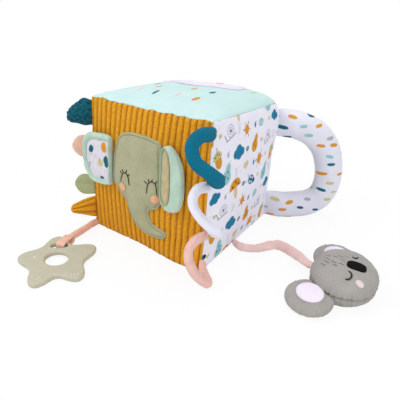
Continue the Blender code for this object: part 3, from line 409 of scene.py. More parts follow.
def printed_cotton(name, axes):
    """Woven cotton whose printed colour the piece's points carry."""
    thread = 0.62 * MM
    # The scale of a wave texture whose bands are a metre apart
    metre_bands = 0.314
    finish, tree, shader = bare_finish(name, SNOW, 0.88, sheen=0.04)
    weave = [add_node(tree, "ShaderNodeTexWave", {
        "Vector": own_place(tree), "Scale": metre_bands / thread, "Distortion": 0.6, "Detail": 1.0},
        bands_direction=axis).outputs["Fac"] for axis in axes]
    threads = reckon(tree, "MULTIPLY", *weave)
    shade = spread_out(tree, speckle(tree, 22 * MM, detail=2.0), 0.2, 0.8)
    soft = mixed(tree, shade, (0.93, 0.93, 0.95, 1), (1, 1, 1, 1))
    mix = mixed(tree, 1.0, point_mark(tree, "print").outputs["Color"], soft, "MULTIPLY")
    coated(tree, shader, mix, threads, 0.1 * MM)
    return finish


def corduroy(name):
    """Wide-wale cotton corduroy: velvety ridges with matt furrows between them, the furrows darkened with
    painted shade.
    """
    finish, tree, shader = bare_finish(name, MUSTARD, 0.92, sheen=0.05)
    ridge = point_mark(tree, "ridge").outputs["Fac"]
    pile = spread_out(tree, speckle(tree, 1.1 * MM, stretch=(1, 1, 0.5)), 0.3, 0.7)
    worn = reckon(tree, "ADD", reckon(tree, "MULTIPLY", pile, 0.55), 0.5)
    # Low on the ridge mask the furrows take the darker colour: painted shade between the wales
    mix = mixed(tree, reckon(tree, "MULTIPLY", ridge, worn), MUSTARD_FURROW_SHADE, MUSTARD)
    coated(tree, shader, mix, pile, 0.4 * MM, 0.8)
    return finish


def thread_finish(name, colour):
    """Embroidery thread, twisted and a little glossy."""
    finish, tree, shader = bare_finish(name, colour, 0.6, sheen=0.1, gloss=0.25)
    twist = speckle(tree, 0.5 * MM)
    coated(tree, shader, mixed(tree, twist, shaded(colour, 0.8), shaded(colour, 1.15)), twist, 0.1 * MM)
    return finish


def silicone_finish(name, colour):
    """Soft matt silicone with a faint bloom."""
    finish, tree, shader = bare_finish(name, colour, 0.5, gloss=0.35)
    shader.inputs["Subsurface Weight"].default_value = 0.12
    shader.inputs["Subsurface Scale"].default_value = 3 * MM
    bloom = speckle(tree, 9 * MM, detail=2.0)
    mix = mixed(tree, bloom, shaded(colour, 0.94), shaded(colour, 1.05))
    coated(tree, shader, mix, speckle(tree, 0.6 * MM), 0.04 * MM)
    return finish


def plain_finish(name, colour, roughness, grain, metal=0.0):
    """Foam, wadding, film or moulded plastic inside the block, with its own fine grain."""
    finish, tree, shader = bare_finish(name, colour, roughness, gloss=0.4)
    shader.inputs["Metallic"].default_value = metal
    fine = speckle(tree, grain)
    coated(tree, shader, mixed(tree, fine, shaded(colour, 0.85), colour), fine, grain / 8)
    return finish


mint_velour = velour("mint_velour", MINT)
ear_velour = velour("ear_velour", dye(190, 216, 199))
snow_velour = velour("snow_velour", SNOW, 0.6 * MM, 0.1 * MM, 0.94, 1.03)
sage_velour = velour("sage_velour", SAGE)
teal_velour = velour("teal_velour", TEAL, sheen=0.03)
pink_velour = velour("pink_velour", PINK)
blush_velour = velour("blush_velour", BLUSH)
strap_velour = velour("strap_velour", STRAP_PINK)
star_strap_velour = velour("star_strap_velour", dye(245, 196, 176))
leaf_velour = velour("leaf_velour", LEAF)
koala_velour = velour("koala_velour", dye(166, 162, 158), 1.0 * MM, 0.25 * MM, 0.86, 1.06)
lilac_velour = velour("lilac_velour", LILAC, 0.7 * MM, 0.2 * MM, 0.93, 1.03)
nose_velour = velour("nose_velour", NOSE, dark=0.5, light=1.6, sheen=0.0)
peach_felt = velour("peach_felt", PEACH)
teal_plush = plush("teal_plush", DARK_TEAL)
rose_velour = velour("rose_velour", dye(240, 196, 198))
pale_felt = velour("pale_felt", dye(230, 212, 210))
mustard_corduroy = corduroy("mustard_corduroy")
side_print = printed_cotton("side_print", "YZ")
mint_print = printed_cotton("mint_print", "XY")
handle_print = printed_cotton("handle_print", "XZ")
ear_print = printed_cotton("ear_print", "XZ")
star_silicone = silicone_finish("star_silicone", STAR_GREY)
# The moulded ridges and dots are paler than the star: a painted highlight where they catch the light
worn_silicone = silicone_finish("worn_silicone", dye(216, 213, 199))
lash_thread = thread_finish("lash_thread", LASH)
sage_thread = thread_finish("sage_thread", shaded(SAGE, 0.62))
nose_thread = thread_finish("nose_thread", shaded(NOSE, 0.4))
grey_thread = thread_finish("grey_thread", shaded(KOALA, 0.6))
rose_thread = thread_finish("rose_thread", dye(244, 176, 172))
snow_thread = thread_finish("snow_thread", SNOW)
fibre_wadding = plain_finish("fibre_wadding", dye(240, 240, 238), 0.9, 1.4 * MM)


# Repeated work, grown on a piece by Geometry Nodes


def new_growth(name, values):
    """An empty tree with a geometry in and out, and named values with their defaults."""
    tree = bpy.data.node_groups.new(name, "GeometryNodeTree")
    for way in ("INPUT", "OUTPUT"):
        tree.interface.new_socket("Geometry", in_out=way, socket_type="NodeSocketGeometry")
    for label, value in values.items():
        kind = "NodeSocketMaterial" if value is None else "NodeSocketFloat"
        socket = tree.interface.new_socket(label, in_out="INPUT", socket_type=kind)
        if value is not None:
            socket.default_value = value
    return tree, tree.nodes.new("NodeGroupInput").outputs, tree.nodes.new("NodeGroupOutput")


def finish_growth(tree, geometry, given, outlet):
    """Make the tree's instances real, give them the material and hand them out."""
    real = add_node(tree, "GeometryNodeRealizeInstances", {"Geometry": geometry})
    coat = add_node(tree, "GeometryNodeSetMaterial", {
        "Geometry": real.outputs["Geometry"], "Material": given["Finish"]})
    feed(tree, outlet.inputs["Geometry"], coat.outputs["Geometry"])


def baked(piece):
    """Keep what a piece's modifiers make of it as its plain mesh."""
    shown = piece.evaluated_get(bpy.context.evaluated_depsgraph_get())
    kept = bpy.data.meshes.new_from_object(shown)
    piece.modifiers.clear()
    piece.data = kept


def grow(piece, tree, **values):
    """Run a tree on a piece and keep the result as its plain mesh."""
    modifier = piece.modifiers.new(tree.name, "NODES")
    modifier.node_group = tree
    for item in tree.interface.items_tree:
        if item.in_out == "INPUT" and item.name in values:
            modifier[item.identifier] = values[item.name]
    baked(piece)


def wale_tree():
    """Corduroy wales: ridges along a piece, counted across its cut by "cut" in metres."""
    tree, given, outlet = new_growth("Corduroy wales", {
        "Pitch": 6.8 * MM, "Depth": 2.1 * MM, "Fullness": 0.5, "Finish": None})
    cut, proud = [
        add_node(tree, "GeometryNodeInputNamedAttribute", {"Name": mark}, data_type="FLOAT")
        .outputs["Attribute"] for mark in ("cut", "proud")]
    turns = reckon(tree, "DIVIDE", cut, given["Pitch"])
    wave = reckon(tree, "COSINE", reckon(tree, "MULTIPLY", turns, math.pi))
    ridge = reckon(tree, "POWER", reckon(tree, "ABSOLUTE", wave), given["Fullness"])
    height = reckon(tree, "MULTIPLY", reckon(tree, "SUBTRACT", ridge, 0.7), given["Depth"])
    height = reckon(tree, "MULTIPLY", height, proud)
    normal = tree.nodes.new("GeometryNodeInputNormal").outputs["Normal"]
    offset = add_node(tree, "ShaderNodeVectorMath", {0: normal, "Scale": height}, operation="SCALE")
    move = add_node(tree, "GeometryNodeSetPosition", {
        "Geometry": given["Geometry"], "Offset": offset.outputs["Vector"]})
    keep = add_node(tree, "GeometryNodeStoreNamedAttribute", {
        "Name": "ridge", "Geometry": move.outputs["Geometry"], "Value": ridge},
        data_type="FLOAT", domain="POINT")
    finish_growth(tree, keep.outputs["Geometry"], given, outlet)
    return tree


def stitch_tree():
    """Stitches of thread laid one after another along a line."""
    tree, given, outlet = new_growth("Stitches", {
        "Pitch": 2.6 * MM, "Length": 1.9 * MM, "Thickness": 0.5 * MM, "Finish": None})
    line = add_node(tree, "GeometryNodeMeshToCurve", {"Mesh": given["Geometry"]})
    spaced = add_node(tree, "GeometryNodeResampleCurve", {
        "Curve": line.outputs["Curve"], "Length": given["Pitch"]}, mode="LENGTH")
    stitch = add_node(tree, "GeometryNodeMeshUVSphere", {"Segments": 6, "Rings": 5, "Radius": 0.5})
    size = add_node(tree, "ShaderNodeCombineXYZ", {
        "X": given["Thickness"], "Y": given["Thickness"], "Z": given["Length"]})
    tangent = tree.nodes.new("GeometryNodeInputTangent").outputs["Tangent"]
    turn = add_node(tree, "FunctionNodeAlignRotationToVector", {"Vector": tangent}, axis="Z")
    lay = add_node(tree, "GeometryNodeInstanceOnPoints", {
        "Points": spaced.outputs["Curve"], "Instance": stitch.outputs["Mesh"],
        "Rotation": turn.outputs["Rotation"], "Scale": size.outputs["Vector"]})
    finish_growth(tree, lay.outputs["Instances"], given, outlet)
    return tree


corduroy_wales = wale_tree()
stitches = stitch_tree()


def stitched(name, lines, finish, pitch, length, thickness, body):
    """Rows of stitches along lines of points; each line is open, or closed on itself."""
    mesh = bpy.data.meshes.new(name)
    points, edges = [], []
    for line in lines:
        start = len(points)
        points += [tuple(point) for point in line]
        edges += [(index, index + 1) for index in range(start, len(points) - 1)]
    mesh.from_pydata(points, edges, [])
    rows = placed(name, mesh)
    grow(rows, stitches, Pitch=pitch, Length=length, Thickness=thickness, Finish=finish)
    rows.data.shade_smooth()
    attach(rows, body)


# Camera, light and floor


def camera():
    """The camera that took the picture, a little above the block and to its right."""
    azimuth, elevation, roll = 30.410 * DEGREE, 25.336 * DEGREE, 4.392 * DEGREE
    distance, shift_right, shift_up = 0.47277, 0.01681, -0.04184
    focal_pixels, picture_pixels, sensor = 400.7, 400, 36.0
    back = np.array((math.sin(azimuth) * math.cos(elevation),
                     -math.cos(azimuth) * math.cos(elevation), math.sin(elevation)))
    level = np.array((math.cos(azimuth), math.sin(azimuth), 0))
    upright = np.cross(back, level)
    right = math.cos(roll) * level + math.sin(roll) * upright
    above = -math.sin(roll) * level + math.cos(roll) * upright
    eye = np.array((0, 0, half_side)) + shift_right * right + shift_up * above + distance * back
    lens = bpy.data.cameras.new("camera")
    lens.sensor_width = sensor
    lens.lens = focal_pixels / picture_pixels * sensor
    lens.clip_start = 0.01
    made = placed("camera", lens)
    made.matrix_world = Matrix([
        [right[row], above[row], back[row], eye[row]] for row in range(3)] + [[0, 0, 0, 1]])
    bpy.context.scene.camera = made


def lamp(name, place, aim, size, power):
    """A square soft box aimed at a point."""
    light = bpy.data.lights.new(name, "AREA")
    light.size = size
    light.energy = power
    made = placed(name, light)
    made.location = place
    made.rotation_euler = (Vector(aim) - Vector(place)).to_track_quat("-Z", "Y").to_euler()


def seen_directly(tree):
    """One for what is seen by the camera, by a reflection or through something clear."""
    ray = add_node(tree, "ShaderNodeLightPath").outputs
    seen = reckon(tree, "ADD", ray["Is Camera Ray"], ray["Is Glossy Ray"])
    seen = reckon(tree, "ADD", seen, ray["Is Transmission Ray"])
    return reckon(tree, "MINIMUM", seen, 1.0)


def white_sky():
    """Even white light from all round, behind a background that is brighter still."""
    world = bpy.data.worlds.new("studio")
    bpy.context.scene.world = world
    world.use_nodes = True
    tree = world.node_tree
    sky = tree.nodes["Background"]
    sky.inputs["Color"].default_value = (1, 1, 1, 1)
    strength = reckon(tree, "ADD", reckon(tree, "MULTIPLY", seen_directly(tree), 0.51), 0.49)
    feed(tree, sky.inputs["Strength"], strength)


def white_paper():
    """White paper that takes shadows near the block and fades into the background."""
    paper = bpy.data.materials.new("white_paper")
    paper.use_nodes = True
    tree = paper.node_tree
    diffuse = tree.nodes["Principled BSDF"]
    diffuse.inputs["Base Color"].default_value = (0.93, 0.93, 0.93, 1)
    diffuse.inputs["Roughness"].default_value = 0.9
    glow = add_node(tree, "ShaderNodeEmission", {"Color": (1, 1, 1, 1)})
    length = add_node(tree, "ShaderNodeVectorMath", {0: own_place(tree)}, operation="LENGTH")
    far = add_node(tree, "ShaderNodeMapRange", {
        "From Min": 0.15, "From Max": 0.6, "To Min": 0.9, "To Max": 1.0,
        "Value": length.outputs["Value"]}, interpolation_type="SMOOTHSTEP")
    share = reckon(tree, "MULTIPLY", seen_directly(tree), far.outputs["Result"])
    mix = add_node(tree, "ShaderNodeMixShader", {
        "Fac": share, 1: diffuse.outputs["BSDF"], 2: glow.outputs["Emission"]})
    feed(tree, tree.nodes["Material Output"].inputs["Surface"], mix.outputs["Shader"])
    return paper


def studio():
    """A white table and soft light from all round, strongest from above the left."""
    lamp("key_softbox", (-0.75, -1.0, 1.25), (0, 0, 0.06), 0.9, 11.6)
    lamp("fill_softbox", (1.2, -0.6, 0.8), (0.05, 0, 0.06), 1.0, 6.0)
    lamp("top_softbox", (0.1, 0.35, 1.5), (0, 0, 0.1), 1.0, 6.2)
    white_sky()
    mesh = bpy.data.meshes.new("table_top")
    reach = 9.0
    mesh.from_pydata([(-reach, -reach, 0), (reach, -reach, 0), (reach, reach, 0), (-reach, reach, 0)],
                     [], [(0, 1, 2, 3)])
    mesh.materials.append(white_paper())
    placed("table_top", mesh)
    bpy.context.scene.view_settings.view_transform = "Standard"


# Tubes along a route


def carried_frames(route, first_broad):
    """The broad and deep directions square to a route, carried along it without twist."""
    ahead = unit(np.gradient(route, axis=0))
    broad = np.array(first_broad, float)
    broads = []
    for direction in ahead:
        broad = unit(broad - direction * (broad @ direction))
        broads.append(broad)
    broads = np.array(broads)
    return broads, np.cross(ahead, broads)


def tube_rings(route, broad_half, deep_half, first_broad, sides, squareness=2.0, twist=0.0):
    """Rings of ovals along a route; squareness over 2 flattens their sides."""
    broads, deeps = carried_frames(route, first_broad)
    turn = all_round(sides)[None, :]
    flat = 2 / squareness
    wide = np.sign(np.cos(turn)) * np.abs(np.cos(turn)) ** flat
    tall = np.sign(np.sin(turn)) * np.abs(np.sin(turn)) ** flat
    twist = np.broadcast_to(twist, len(route))[:, None]
    wide = wide * np.asarray(broad_half).reshape(-1, 1)
    tall = tall * np.asarray(deep_half).reshape(-1, 1)
    aside = wide * np.cos(twist) - tall * np.sin(twist)
    above = wide * np.sin(twist) + tall * np.cos(twist)
    return route[:, None] + aside[..., None] * broads[:, None] + above[..., None] * deeps[:, None]


def thread_line(name, lines, radius, finish, body):
    """Smooth lines of thick thread, such as an embroidered eye, as one piece."""
    sides = 7
    points, fours, threes, start = [], [], [], 0
    for line in lines:
        route = smooth_line(line, max(6, 5 * len(line)))
        share = np.linspace(0, 1, len(route))
        size = radius * (0.35 + 0.65 * np.sqrt(np.clip(4 * share * (1 - share), 0, 1)) ** 0.5)
        rings = tube_rings(route, size, size, (0.13, 0.3, 0.95), sides)
        points.append(with_tips(rings))
        quads, *tips = ring_faces(len(rings), sides)
        fours.append(quads + start)
        threes += [tip + start for tip in tips]
        start += len(points[-1])
    made = make_piece(name, np.concatenate(points), [np.concatenate(fours), np.concatenate(threes)], finish)
    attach(made, body)


# The block's six panels

seam_bite = 0.9 * MM
seam_roll = 5.5 * MM
edge_gap = 0.04 * MM
pucker_pitch = 9 * MM
pucker_depth = 0.55 * MM
pucker_reach = 11 * MM

# How far the stuffing pushes each corner off the cutting pattern's, in millimetres
CORNER_PUSHES = {
    (-1, -1, 1): (1.0, 0.0, 2.5), (1, -1, 1): (0.0, 0.0, 3.6), (1, 1, 1): (0.0, 0.5, 0.8),
    (-1, 1, 1): (1.5, -1.5, -2.0), (1, -1, -1): (2.4, -1.0, -1.2), (-1, -1, -1): (0.0, 0.0, 0.6),
    (1, 1, -1): (2.0, 2.4, 1.6), (-1, 1, -1): (0.5, -0.5, 0.5),
}


def hump(value, middle, width):
    """A smooth hump of height 1 round a middle."""
    return np.exp(-(((value - middle) / width) ** 2))


def settled(points):
    """Places on the block once it is stuffed and stands on the table.

    Each corner is pushed its own way. The front's lower edge bulges, the lower half sags, the
    seam by the handle swells and is drawn in at its top, and the top's front seam waves.
    """
    place = np.clip((points - block_middle) / half_side, -1, 1)
    moved = np.array(points, float)
    for corner, push in CORNER_PUSHES.items():
        share = np.prod(((1 + place * np.array(corner)) / 2) ** 2.4, axis=-1)
        moved += share[..., None] * np.array(push) * MM
    across, back, up = np.moveaxis(place, -1, 0)
    low = hump(up, -1, 0.34) * ((1 - back) / 2) ** 5
    bulge = 6.5 * MM * hump(across, 0.62, 0.5) * low
    sag = 1.6 * MM * np.clip((0.2 - up) / 1.2, 0, 1) ** 3
    moved[..., 1] -= bulge
    moved[..., 2] -= sag
    handle_seam = (((1 + across) / 2) * ((1 + back) / 2)) ** 5
    swell = 5 * hump(up, 0.66, 0.34) + 1.6 * hump(up, -0.1, 0.5)
    moved[..., :2] += (0.72 * MM * swell * handle_seam)[..., None]
    corner_draw = ((handle_seam * ((1 + up) / 2) ** 5) ** 3) * 3 * MM
    moved -= corner_draw[..., None]
    top_seam = hump(up, 1, 0.05) * hump(back, -1, 0.08)
    moved[..., 2] += 0.9 * MM * top_seam * ripple(moved[..., 0], 21 * MM, 40)
    return moved


def block_surface(side, across, up, lift=0.0):
    """Points on one crowned side of the block; across and up run from -1 to 1."""
    normal, across_axis, up_axis, crown = [np.array(part) for part in SIDES[side]]
    power = top_power if side == "top" else crown_power
    reach = half_side + lift
    rise = (1 - np.abs(across) ** power) * (1 - np.abs(up) ** power)
    if side == "top":
        rise = rise + 0.6 * (((1 + across) * (1 + up)) / 4) ** 1.5 * (1 - across**8) * (1 - up**8)
    draw = 0.6 * MM * np.abs(across * up) ** draw_power
    out = reach + crown * rise - draw
    beside = across * reach - np.sign(across) * draw
    above = up * reach - np.sign(up) * draw
    return settled(block_middle + out[..., None] * normal
                   + beside[..., None] * across_axis + above[..., None] * up_axis)


def square_grid(rows, columns):
    """Shares across and up a side, each from -1 to 1."""
    return np.meshgrid(np.linspace(-1, 1, columns), np.linspace(-1, 1, rows))


def stuffed_side(side, across, up, pucker):
    """One side with its seams drawn in, the gathers along them and a soft unevenness."""
    normal, across_axis, up_axis, _ = [np.array(part) for part in SIDES[side]]
    points = block_surface(side, across, up)
    along_up = points @ np.abs(up_axis)
    along_across = points @ np.abs(across_axis)
    sunk = np.zeros_like(across)
    for share, axis, along in ((across, across_axis, along_up), (up, up_axis, along_across)):
        inside = (1 - np.abs(share)) * half_side
        gather = ripple(along, pucker_pitch, 4)
        bite = seam_bite * np.clip(1 - inside / seam_roll, 0, 1) ** 2 * (1 + 0.35 * pucker * gather)
        points = points - bite[..., None] * (normal + np.sign(share)[..., None] * axis)
        points = points - (edge_gap * share)[..., None] * axis
        tail = np.exp(-inside / pucker_reach) * np.clip(inside / seam_roll, 0, 1)
        sunk += pucker * pucker_depth * gather * tail
    sunk += 0.3 * MM * rumple(points, 42 * MM, 9)
    points = points - sunk[..., None] * normal
    points[..., 2] = np.maximum(points[..., 2], 0.1 * MM)
    return points


def panel_cover(side, rows, columns, finish, pucker=1.0, marks=None):
    """One fabric panel: a fine outer face, turned in at its seams and closed behind."""
    across, up = square_grid(rows, columns)
    face = stuffed_side(side, across, up, pucker)
    count = rows * columns
    rim = grid_rim(rows, columns)
    following = np.roll(rim, -1)
    points, faces = [face.reshape(-1, 3)], [grid_quads(rows, columns)]
    before, before_next = rim, following
    for share in (0.975, 0.7, 0.35):
        behind = block_surface(side, across.ravel()[rim] * share, up.ravel()[rim] * share, -2 * panel_wall)
        behind[..., 2] = np.maximum(behind[..., 2], 2 * panel_wall)
        ring = count + np.arange(len(rim))
        ring_next = np.roll(ring, -1)
        faces.append(np.stack([before, ring, ring_next, before_next], 1))
        points.append(behind)
        count += len(rim)
        before, before_next = ring, ring_next
    points.append(points[-1].mean(0)[None])
    faces.append(np.stack([before, np.full(len(rim), count), before_next], 1))
    kept = {}
    for mark, values in (marks or {}).items():
        values = np.asarray(values, float).reshape(rows * columns, -1)
        behind = np.tile(values[rim], (3, 1))
        if mark == "proud":
            behind = behind * 0
        kept[mark] = np.concatenate([values, behind, values[:1]])
    return make_piece(side + "_cover", np.concatenate(points), faces, finish, kept)


def as_sheet(line):
    """Roll a closed line of places by one step; nothing is kept."""
    after = np.roll(line, -1, 0)


def sewn_panel(side, cover):
    """Put a side's cover on the block in place of its panel."""
    dressed(cover, "block", side + "_panel")


def corduroy_front():
    """The mustard corduroy panel, its wales upright."""
    rows, columns = 130, 265
    across, up = square_grid(rows, columns)
    cut = across * half_side + 0.5 * MM * ripple(up * half_side, 60 * MM, 3)
    proud = np.clip((1 - np.abs(across)) * half_side / (1 * MM), 0, 1)
    proud = proud * np.clip((1 - np.abs(up)) * half_side / (1 * MM), 0, 1)
    cover = panel_cover("front", rows, columns, mustard_corduroy, 0.8, {"cut": cut, "proud": proud})
    grow(cover, corduroy_wales, Finish=mustard_corduroy)
    sewn_panel("front", cover)


def plain_panels():
    """The left, back and bottom panels of plain mint velour."""
    for side in ("left", "back", "bottom"):
        sewn_panel(side, panel_cover(side, 110, 110, mint_velour))


# Prints

# Half the width over which a printed edge fades
print_edge = 0.35 * MM


class Print:
    """Colours printed on cloth, kept for points whose places on the cloth are given."""

    def __init__(self, x, y, ground):
        self.x, self.y = x, y
        self.colours = np.tile(np.array(ground[:3]), (*x.shape, 1))

    def dab(self, distance, colour):
        """Print a colour wherever the distance to its shape is negative."""
        share = np.clip(0.5 - distance / (2 * print_edge), 0, 1)[..., None]
        self.colours = self.colours * (1 - share) + np.array(colour[:3]) * share

    def local(self, x, y, turn):
        """The cloth's places seen from a spot and a heading on it."""
        right, above = self.x - x, self.y - y
        return (right * math.cos(turn) + above * math.sin(turn),
                above * math.cos(turn) - right * math.sin(turn))

    def dashes(self, table):
        """Print dashes from a table of places, lengths, widths, turns and colours."""
        for x, y, length, width, turn, colour in table:
            seen = self.local(x * MM, y * MM, turn * DEGREE)
            self.dab(dash(*seen, length * MM, width * MM), colour)


def oval(x, y, wide, tall):
    """Roughly the distance to an oval."""
    reach = np.sqrt((x / wide) ** 2 + (y / tall) ** 2) + 1e-9
    return (reach - 1) * min(wide, tall)


def dash(x, y, length, width):
    """The distance to a rounded dash, a little pointed at its ends."""
    along = np.clip(np.abs(x) / (length / 2), 0, 1)
    return np.maximum(np.abs(y) - width / 2 * np.sqrt(1 - along**2.6), np.abs(x) - length / 2)


def bar(x, y, x0, y0, x1, y1, width):
    """The distance to a straight stroke between two points."""
    run, rise = x1 - x0, y1 - y0
    share = np.clip(((x - x0) * run + (y - y0) * rise) / max(run**2 + rise**2, 1e-12), 0, 1)
    return np.hypot(x - x0 - share * run, y - y0 - share * rise) - width / 2


PRINT_TEAL = dye(24, 124, 162)
PRINT_DEEP = dye(20, 102, 122)
PRINT_MUSTARD = dye(222, 152, 44)
PRINT_AQUA = dye(150, 202, 206)
PRINT_BEIGE = dye(222, 200, 164)
PRINT_GREY = dye(180, 178, 194)
PRINT_KHAKI = dye(206, 198, 142)
PRINT_BLACK = dye(20, 16, 22)
PRINT_ROSE = dye(244, 196, 198)
PRINT_WHITE = dye(246, 246, 250)


class Pen:
    """Draws a little picture on cloth, in shares of the picture's size."""

    def __init__(self, cloth, x, y, size):
        self.cloth, self.x, self.y, self.size = cloth, x, y, size

    def oval(self, x, y, wide, tall=None):
        """The distance to an oval, which is round if it has no height of its own."""
        return oval(self.x - x * self.size, self.y - y * self.size,
                    wide * self.size, (tall or wide) * self.size)

    def fill(self, distance, colour):
        """Print a shape from the distance to it."""
        self.cloth.dab(distance, colour)

    def stroke(self, x0, y0, x1, y1, width, colour):
        """Print a straight stroke, its width in millimetres."""
        ends = np.array((x0, y0, x1, y1)) * self.size
        self.cloth.dab(bar(self.x, self.y, *ends, width * MM), colour)

    def spots(self, places, wide, tall, colour):
        """Print spots of one size."""
        for x, y in places:
            self.cloth.dab(self.oval(x, y, wide, tall), colour)


def cloud_motif(pen, colour):
    """A small printed cloud."""
    lobes = ((-0.3, -0.02, 0.24), (-0.02, 0.12, 0.3), (0.3, 0.0, 0.22), (0.0, -0.1, 0.26))
    pen.fill(np.minimum.reduce([pen.oval(*lobe) for lobe in lobes]), colour)


def leaf_motif(pen, colour):
    """A leaf on a short stalk, with its rib left pale."""
    pen.fill(np.maximum(pen.oval(0, 0.16, 0.34), pen.oval(0, -0.16, 0.34)) - 0.04 * pen.size, colour)
    pen.stroke(-0.5, 0, 0.2, 0, 0.5, PRINT_WHITE)


def sun_motif(pen, colour):
    """A little sun, every other ray of it dark."""
    for ray in range(6):
        turn = FULL_TURN * ray / 6 + 0.3
        heading = np.array((math.cos(turn), math.sin(turn)))
        pen.stroke(*(0.2 * heading), *(0.46 * heading), 0.9, PRINT_BLACK if ray % 2 else colour)
    pen.fill(pen.oval(0, 0, 0.27), colour)


def mushroom_motif(pen, colour):
    """A mushroom with a spotted cap."""
    pen.fill(pen.oval(0, -0.2, 0.14, 0.3), PRINT_BEIGE)
    pen.fill(np.maximum(pen.oval(0, 0.02, 0.42, 0.4), -pen.y), colour)
    pen.spots(((-0.18, 0.12), (0.06, 0.24), (0.24, 0.08)), 0.055, 0.055, PRINT_BLACK)


def pear_motif(pen, colour):
    """A pear with a few pips."""
    pen.fill(np.minimum(pen.oval(0, -0.14, 0.28), pen.oval(0, 0.16, 0.16, 0.24)), colour)
    pen.stroke(0, 0.36, 0.08, 0.5, 0.8, PRINT_GREY)
    pen.spots(((-0.1, -0.1), (0.1, -0.16), (0.02, 0.08)), 0.035, 0.05, PRINT_BLACK)


def heart_motif(pen, colour):
    """A small heart."""
    size, y, lean = pen.size, pen.y, np.abs(pen.x)
    lobe = oval(lean - 0.12 * size, y - 0.05 * size, 0.2 * size, 0.2 * size)
    pen.fill(np.maximum(lobe, lean - 0.34 * size), colour)
    pen.fill(np.maximum(lean * 0.75 - y * 0.62 - 0.2 * size, y - 0.05 * size), colour)


def beetle_motif(pen, colour):
    """A beetle with white spots and a black head."""
    pen.fill(pen.oval(0.3, 0, 0.13, 0.12), PRINT_BLACK)
    pen.fill(pen.oval(0, 0, 0.3, 0.22), colour)
    pen.stroke(-0.28, 0, 0.28, 0, 0.5, PRINT_BLACK)
    pen.spots(((-0.1, 0.1), (0.1, 0.1), (-0.1, -0.1), (0.1, -0.1)), 0.05, 0.05, PRINT_WHITE)
    for side in (-1, 1):
        pen.stroke(-0.34, 0.08 * side, -0.48, 0.2 * side, 0.6, PRINT_BLACK)


def acorn_motif(pen, colour):
    """An acorn in its dotted cup."""
    pen.fill(pen.oval(0, -0.1, 0.2, 0.32), colour)
    pen.fill(np.maximum(pen.oval(0, 0.08, 0.27, 0.24), 0.02 * pen.size - pen.y), PRINT_KHAKI)
    pen.stroke(0, 0.3, 0.05, 0.44, 0.9, PRINT_BLACK)
    pen.spots(((-0.12, 0.14), (0, 0.2), (0.12, 0.14)), 0.035, 0.035, PRINT_BLACK)


def snail_motif(pen, colour):
    """A snail drawn in grey lines."""
    for reach in (0.24, 0.13):
        pen.fill(np.abs(pen.oval(0, 0.06, reach)) - 0.45 * MM, colour)
    pen.stroke(-0.4, -0.2, 0.3, -0.2, 1.6, colour)
    pen.stroke(-0.38, -0.18, -0.46, 0.1, 0.8, PRINT_BLACK)
    pen.fill(pen.oval(0, 0.06, 0.06), PRINT_BLACK)


def sprig_motif(pen, colour):
    """A sprig drawn in thin lines."""
    pen.stroke(0, -0.4, 0, 0.4, 0.45, colour)
    for side in (-1, 1):
        for level in (-0.2, 0.05, 0.3):
            pen.stroke(0, level, side * 0.22, level + 0.16, 0.45, colour)


def drop_motif(pen, colour):
    """A rain drop with a dot beside it."""
    pen.fill(pen.oval(0, -0.08, 0.15, 0.24), colour)
    pen.fill(pen.oval(0.24, 0.16, 0.06), PRINT_GREY)


SIDE_MOTIFS = (
    (cloud_motif, 20, PRINT_TEAL), (cloud_motif, 16, PRINT_TEAL), (sun_motif, 22, PRINT_MUSTARD),
    (sun_motif, 18, PRINT_MUSTARD), (pear_motif, 27, PRINT_AQUA), (pear_motif, 24, PRINT_MUSTARD),
    (mushroom_motif, 26, PRINT_MUSTARD), (acorn_motif, 25, PRINT_MUSTARD), (leaf_motif, 19, PRINT_AQUA),
    (heart_motif, 17, PRINT_BEIGE), (snail_motif, 24, PRINT_GREY), (beetle_motif, 25, PRINT_TEAL),
)
SMALL_MOTIFS = (
    (drop_motif, 13, PRINT_TEAL), (sprig_motif, 12, PRINT_GREY), (heart_motif, 9, PRINT_KHAKI),
    (leaf_motif, 11, PRINT_DEEP), (drop_motif, 12, PRINT_GREY), (leaf_motif, 10, PRINT_BEIGE),
)


motif_spacing = 35 * MM
motif_rise = 20 * MM
motif_room = 18 * MM


def scattered_motifs(cloth, motifs, offset, seed):
    """Little pictures over the cloth, each near its own place in a staggered grid."""
    chance = np.random.default_rng(seed)
    count = math.ceil(half_side / motif_rise) + 1
    for row in range(-count, count + 1):
        for column in range(-count, count + 1):
            draw, size, colour = motifs[(3 * row + 5 * column + seed) % len(motifs)]
            x = (column + 0.5 * (row % 2) + offset) * motif_spacing + chance.uniform(-2, 2) * MM
            y = row * motif_rise + chance.uniform(-2, 2) * MM
            turn = chance.uniform(-0.4, 0.4)
            near = (np.abs(cloth.x - x) < motif_room) & (np.abs(cloth.y - y) < motif_room)
            if not near.any():
                continue
            patch = Print(cloth.x[near], cloth.y[near], SNOW)
            patch.colours = cloth.colours[near]
            draw(Pen(patch, *patch.local(x, y, turn), size * MM), colour)
            cloth.colours[near] = patch.colours


def printed_panel(side, size, cloth, finish):
    """A panel that shows what is printed on its cloth."""
    cover = panel_cover(side, size, size, finish, 1.0, {"print": cloth.colours})
    sewn_panel(side, cover)


def printed_side():
    """The white cotton panel with its little printed pictures."""
    size = 272
    across, up = square_grid(size, size)
    cloth = Print(across * half_side, up * half_side, dye(244, 243, 254))
    scattered_motifs(cloth, SIDE_MOTIFS, 0.2, 23)
    scattered_motifs(cloth, SMALL_MOTIFS, 0.7, 14)
    printed_panel("right", size, cloth, side_print)


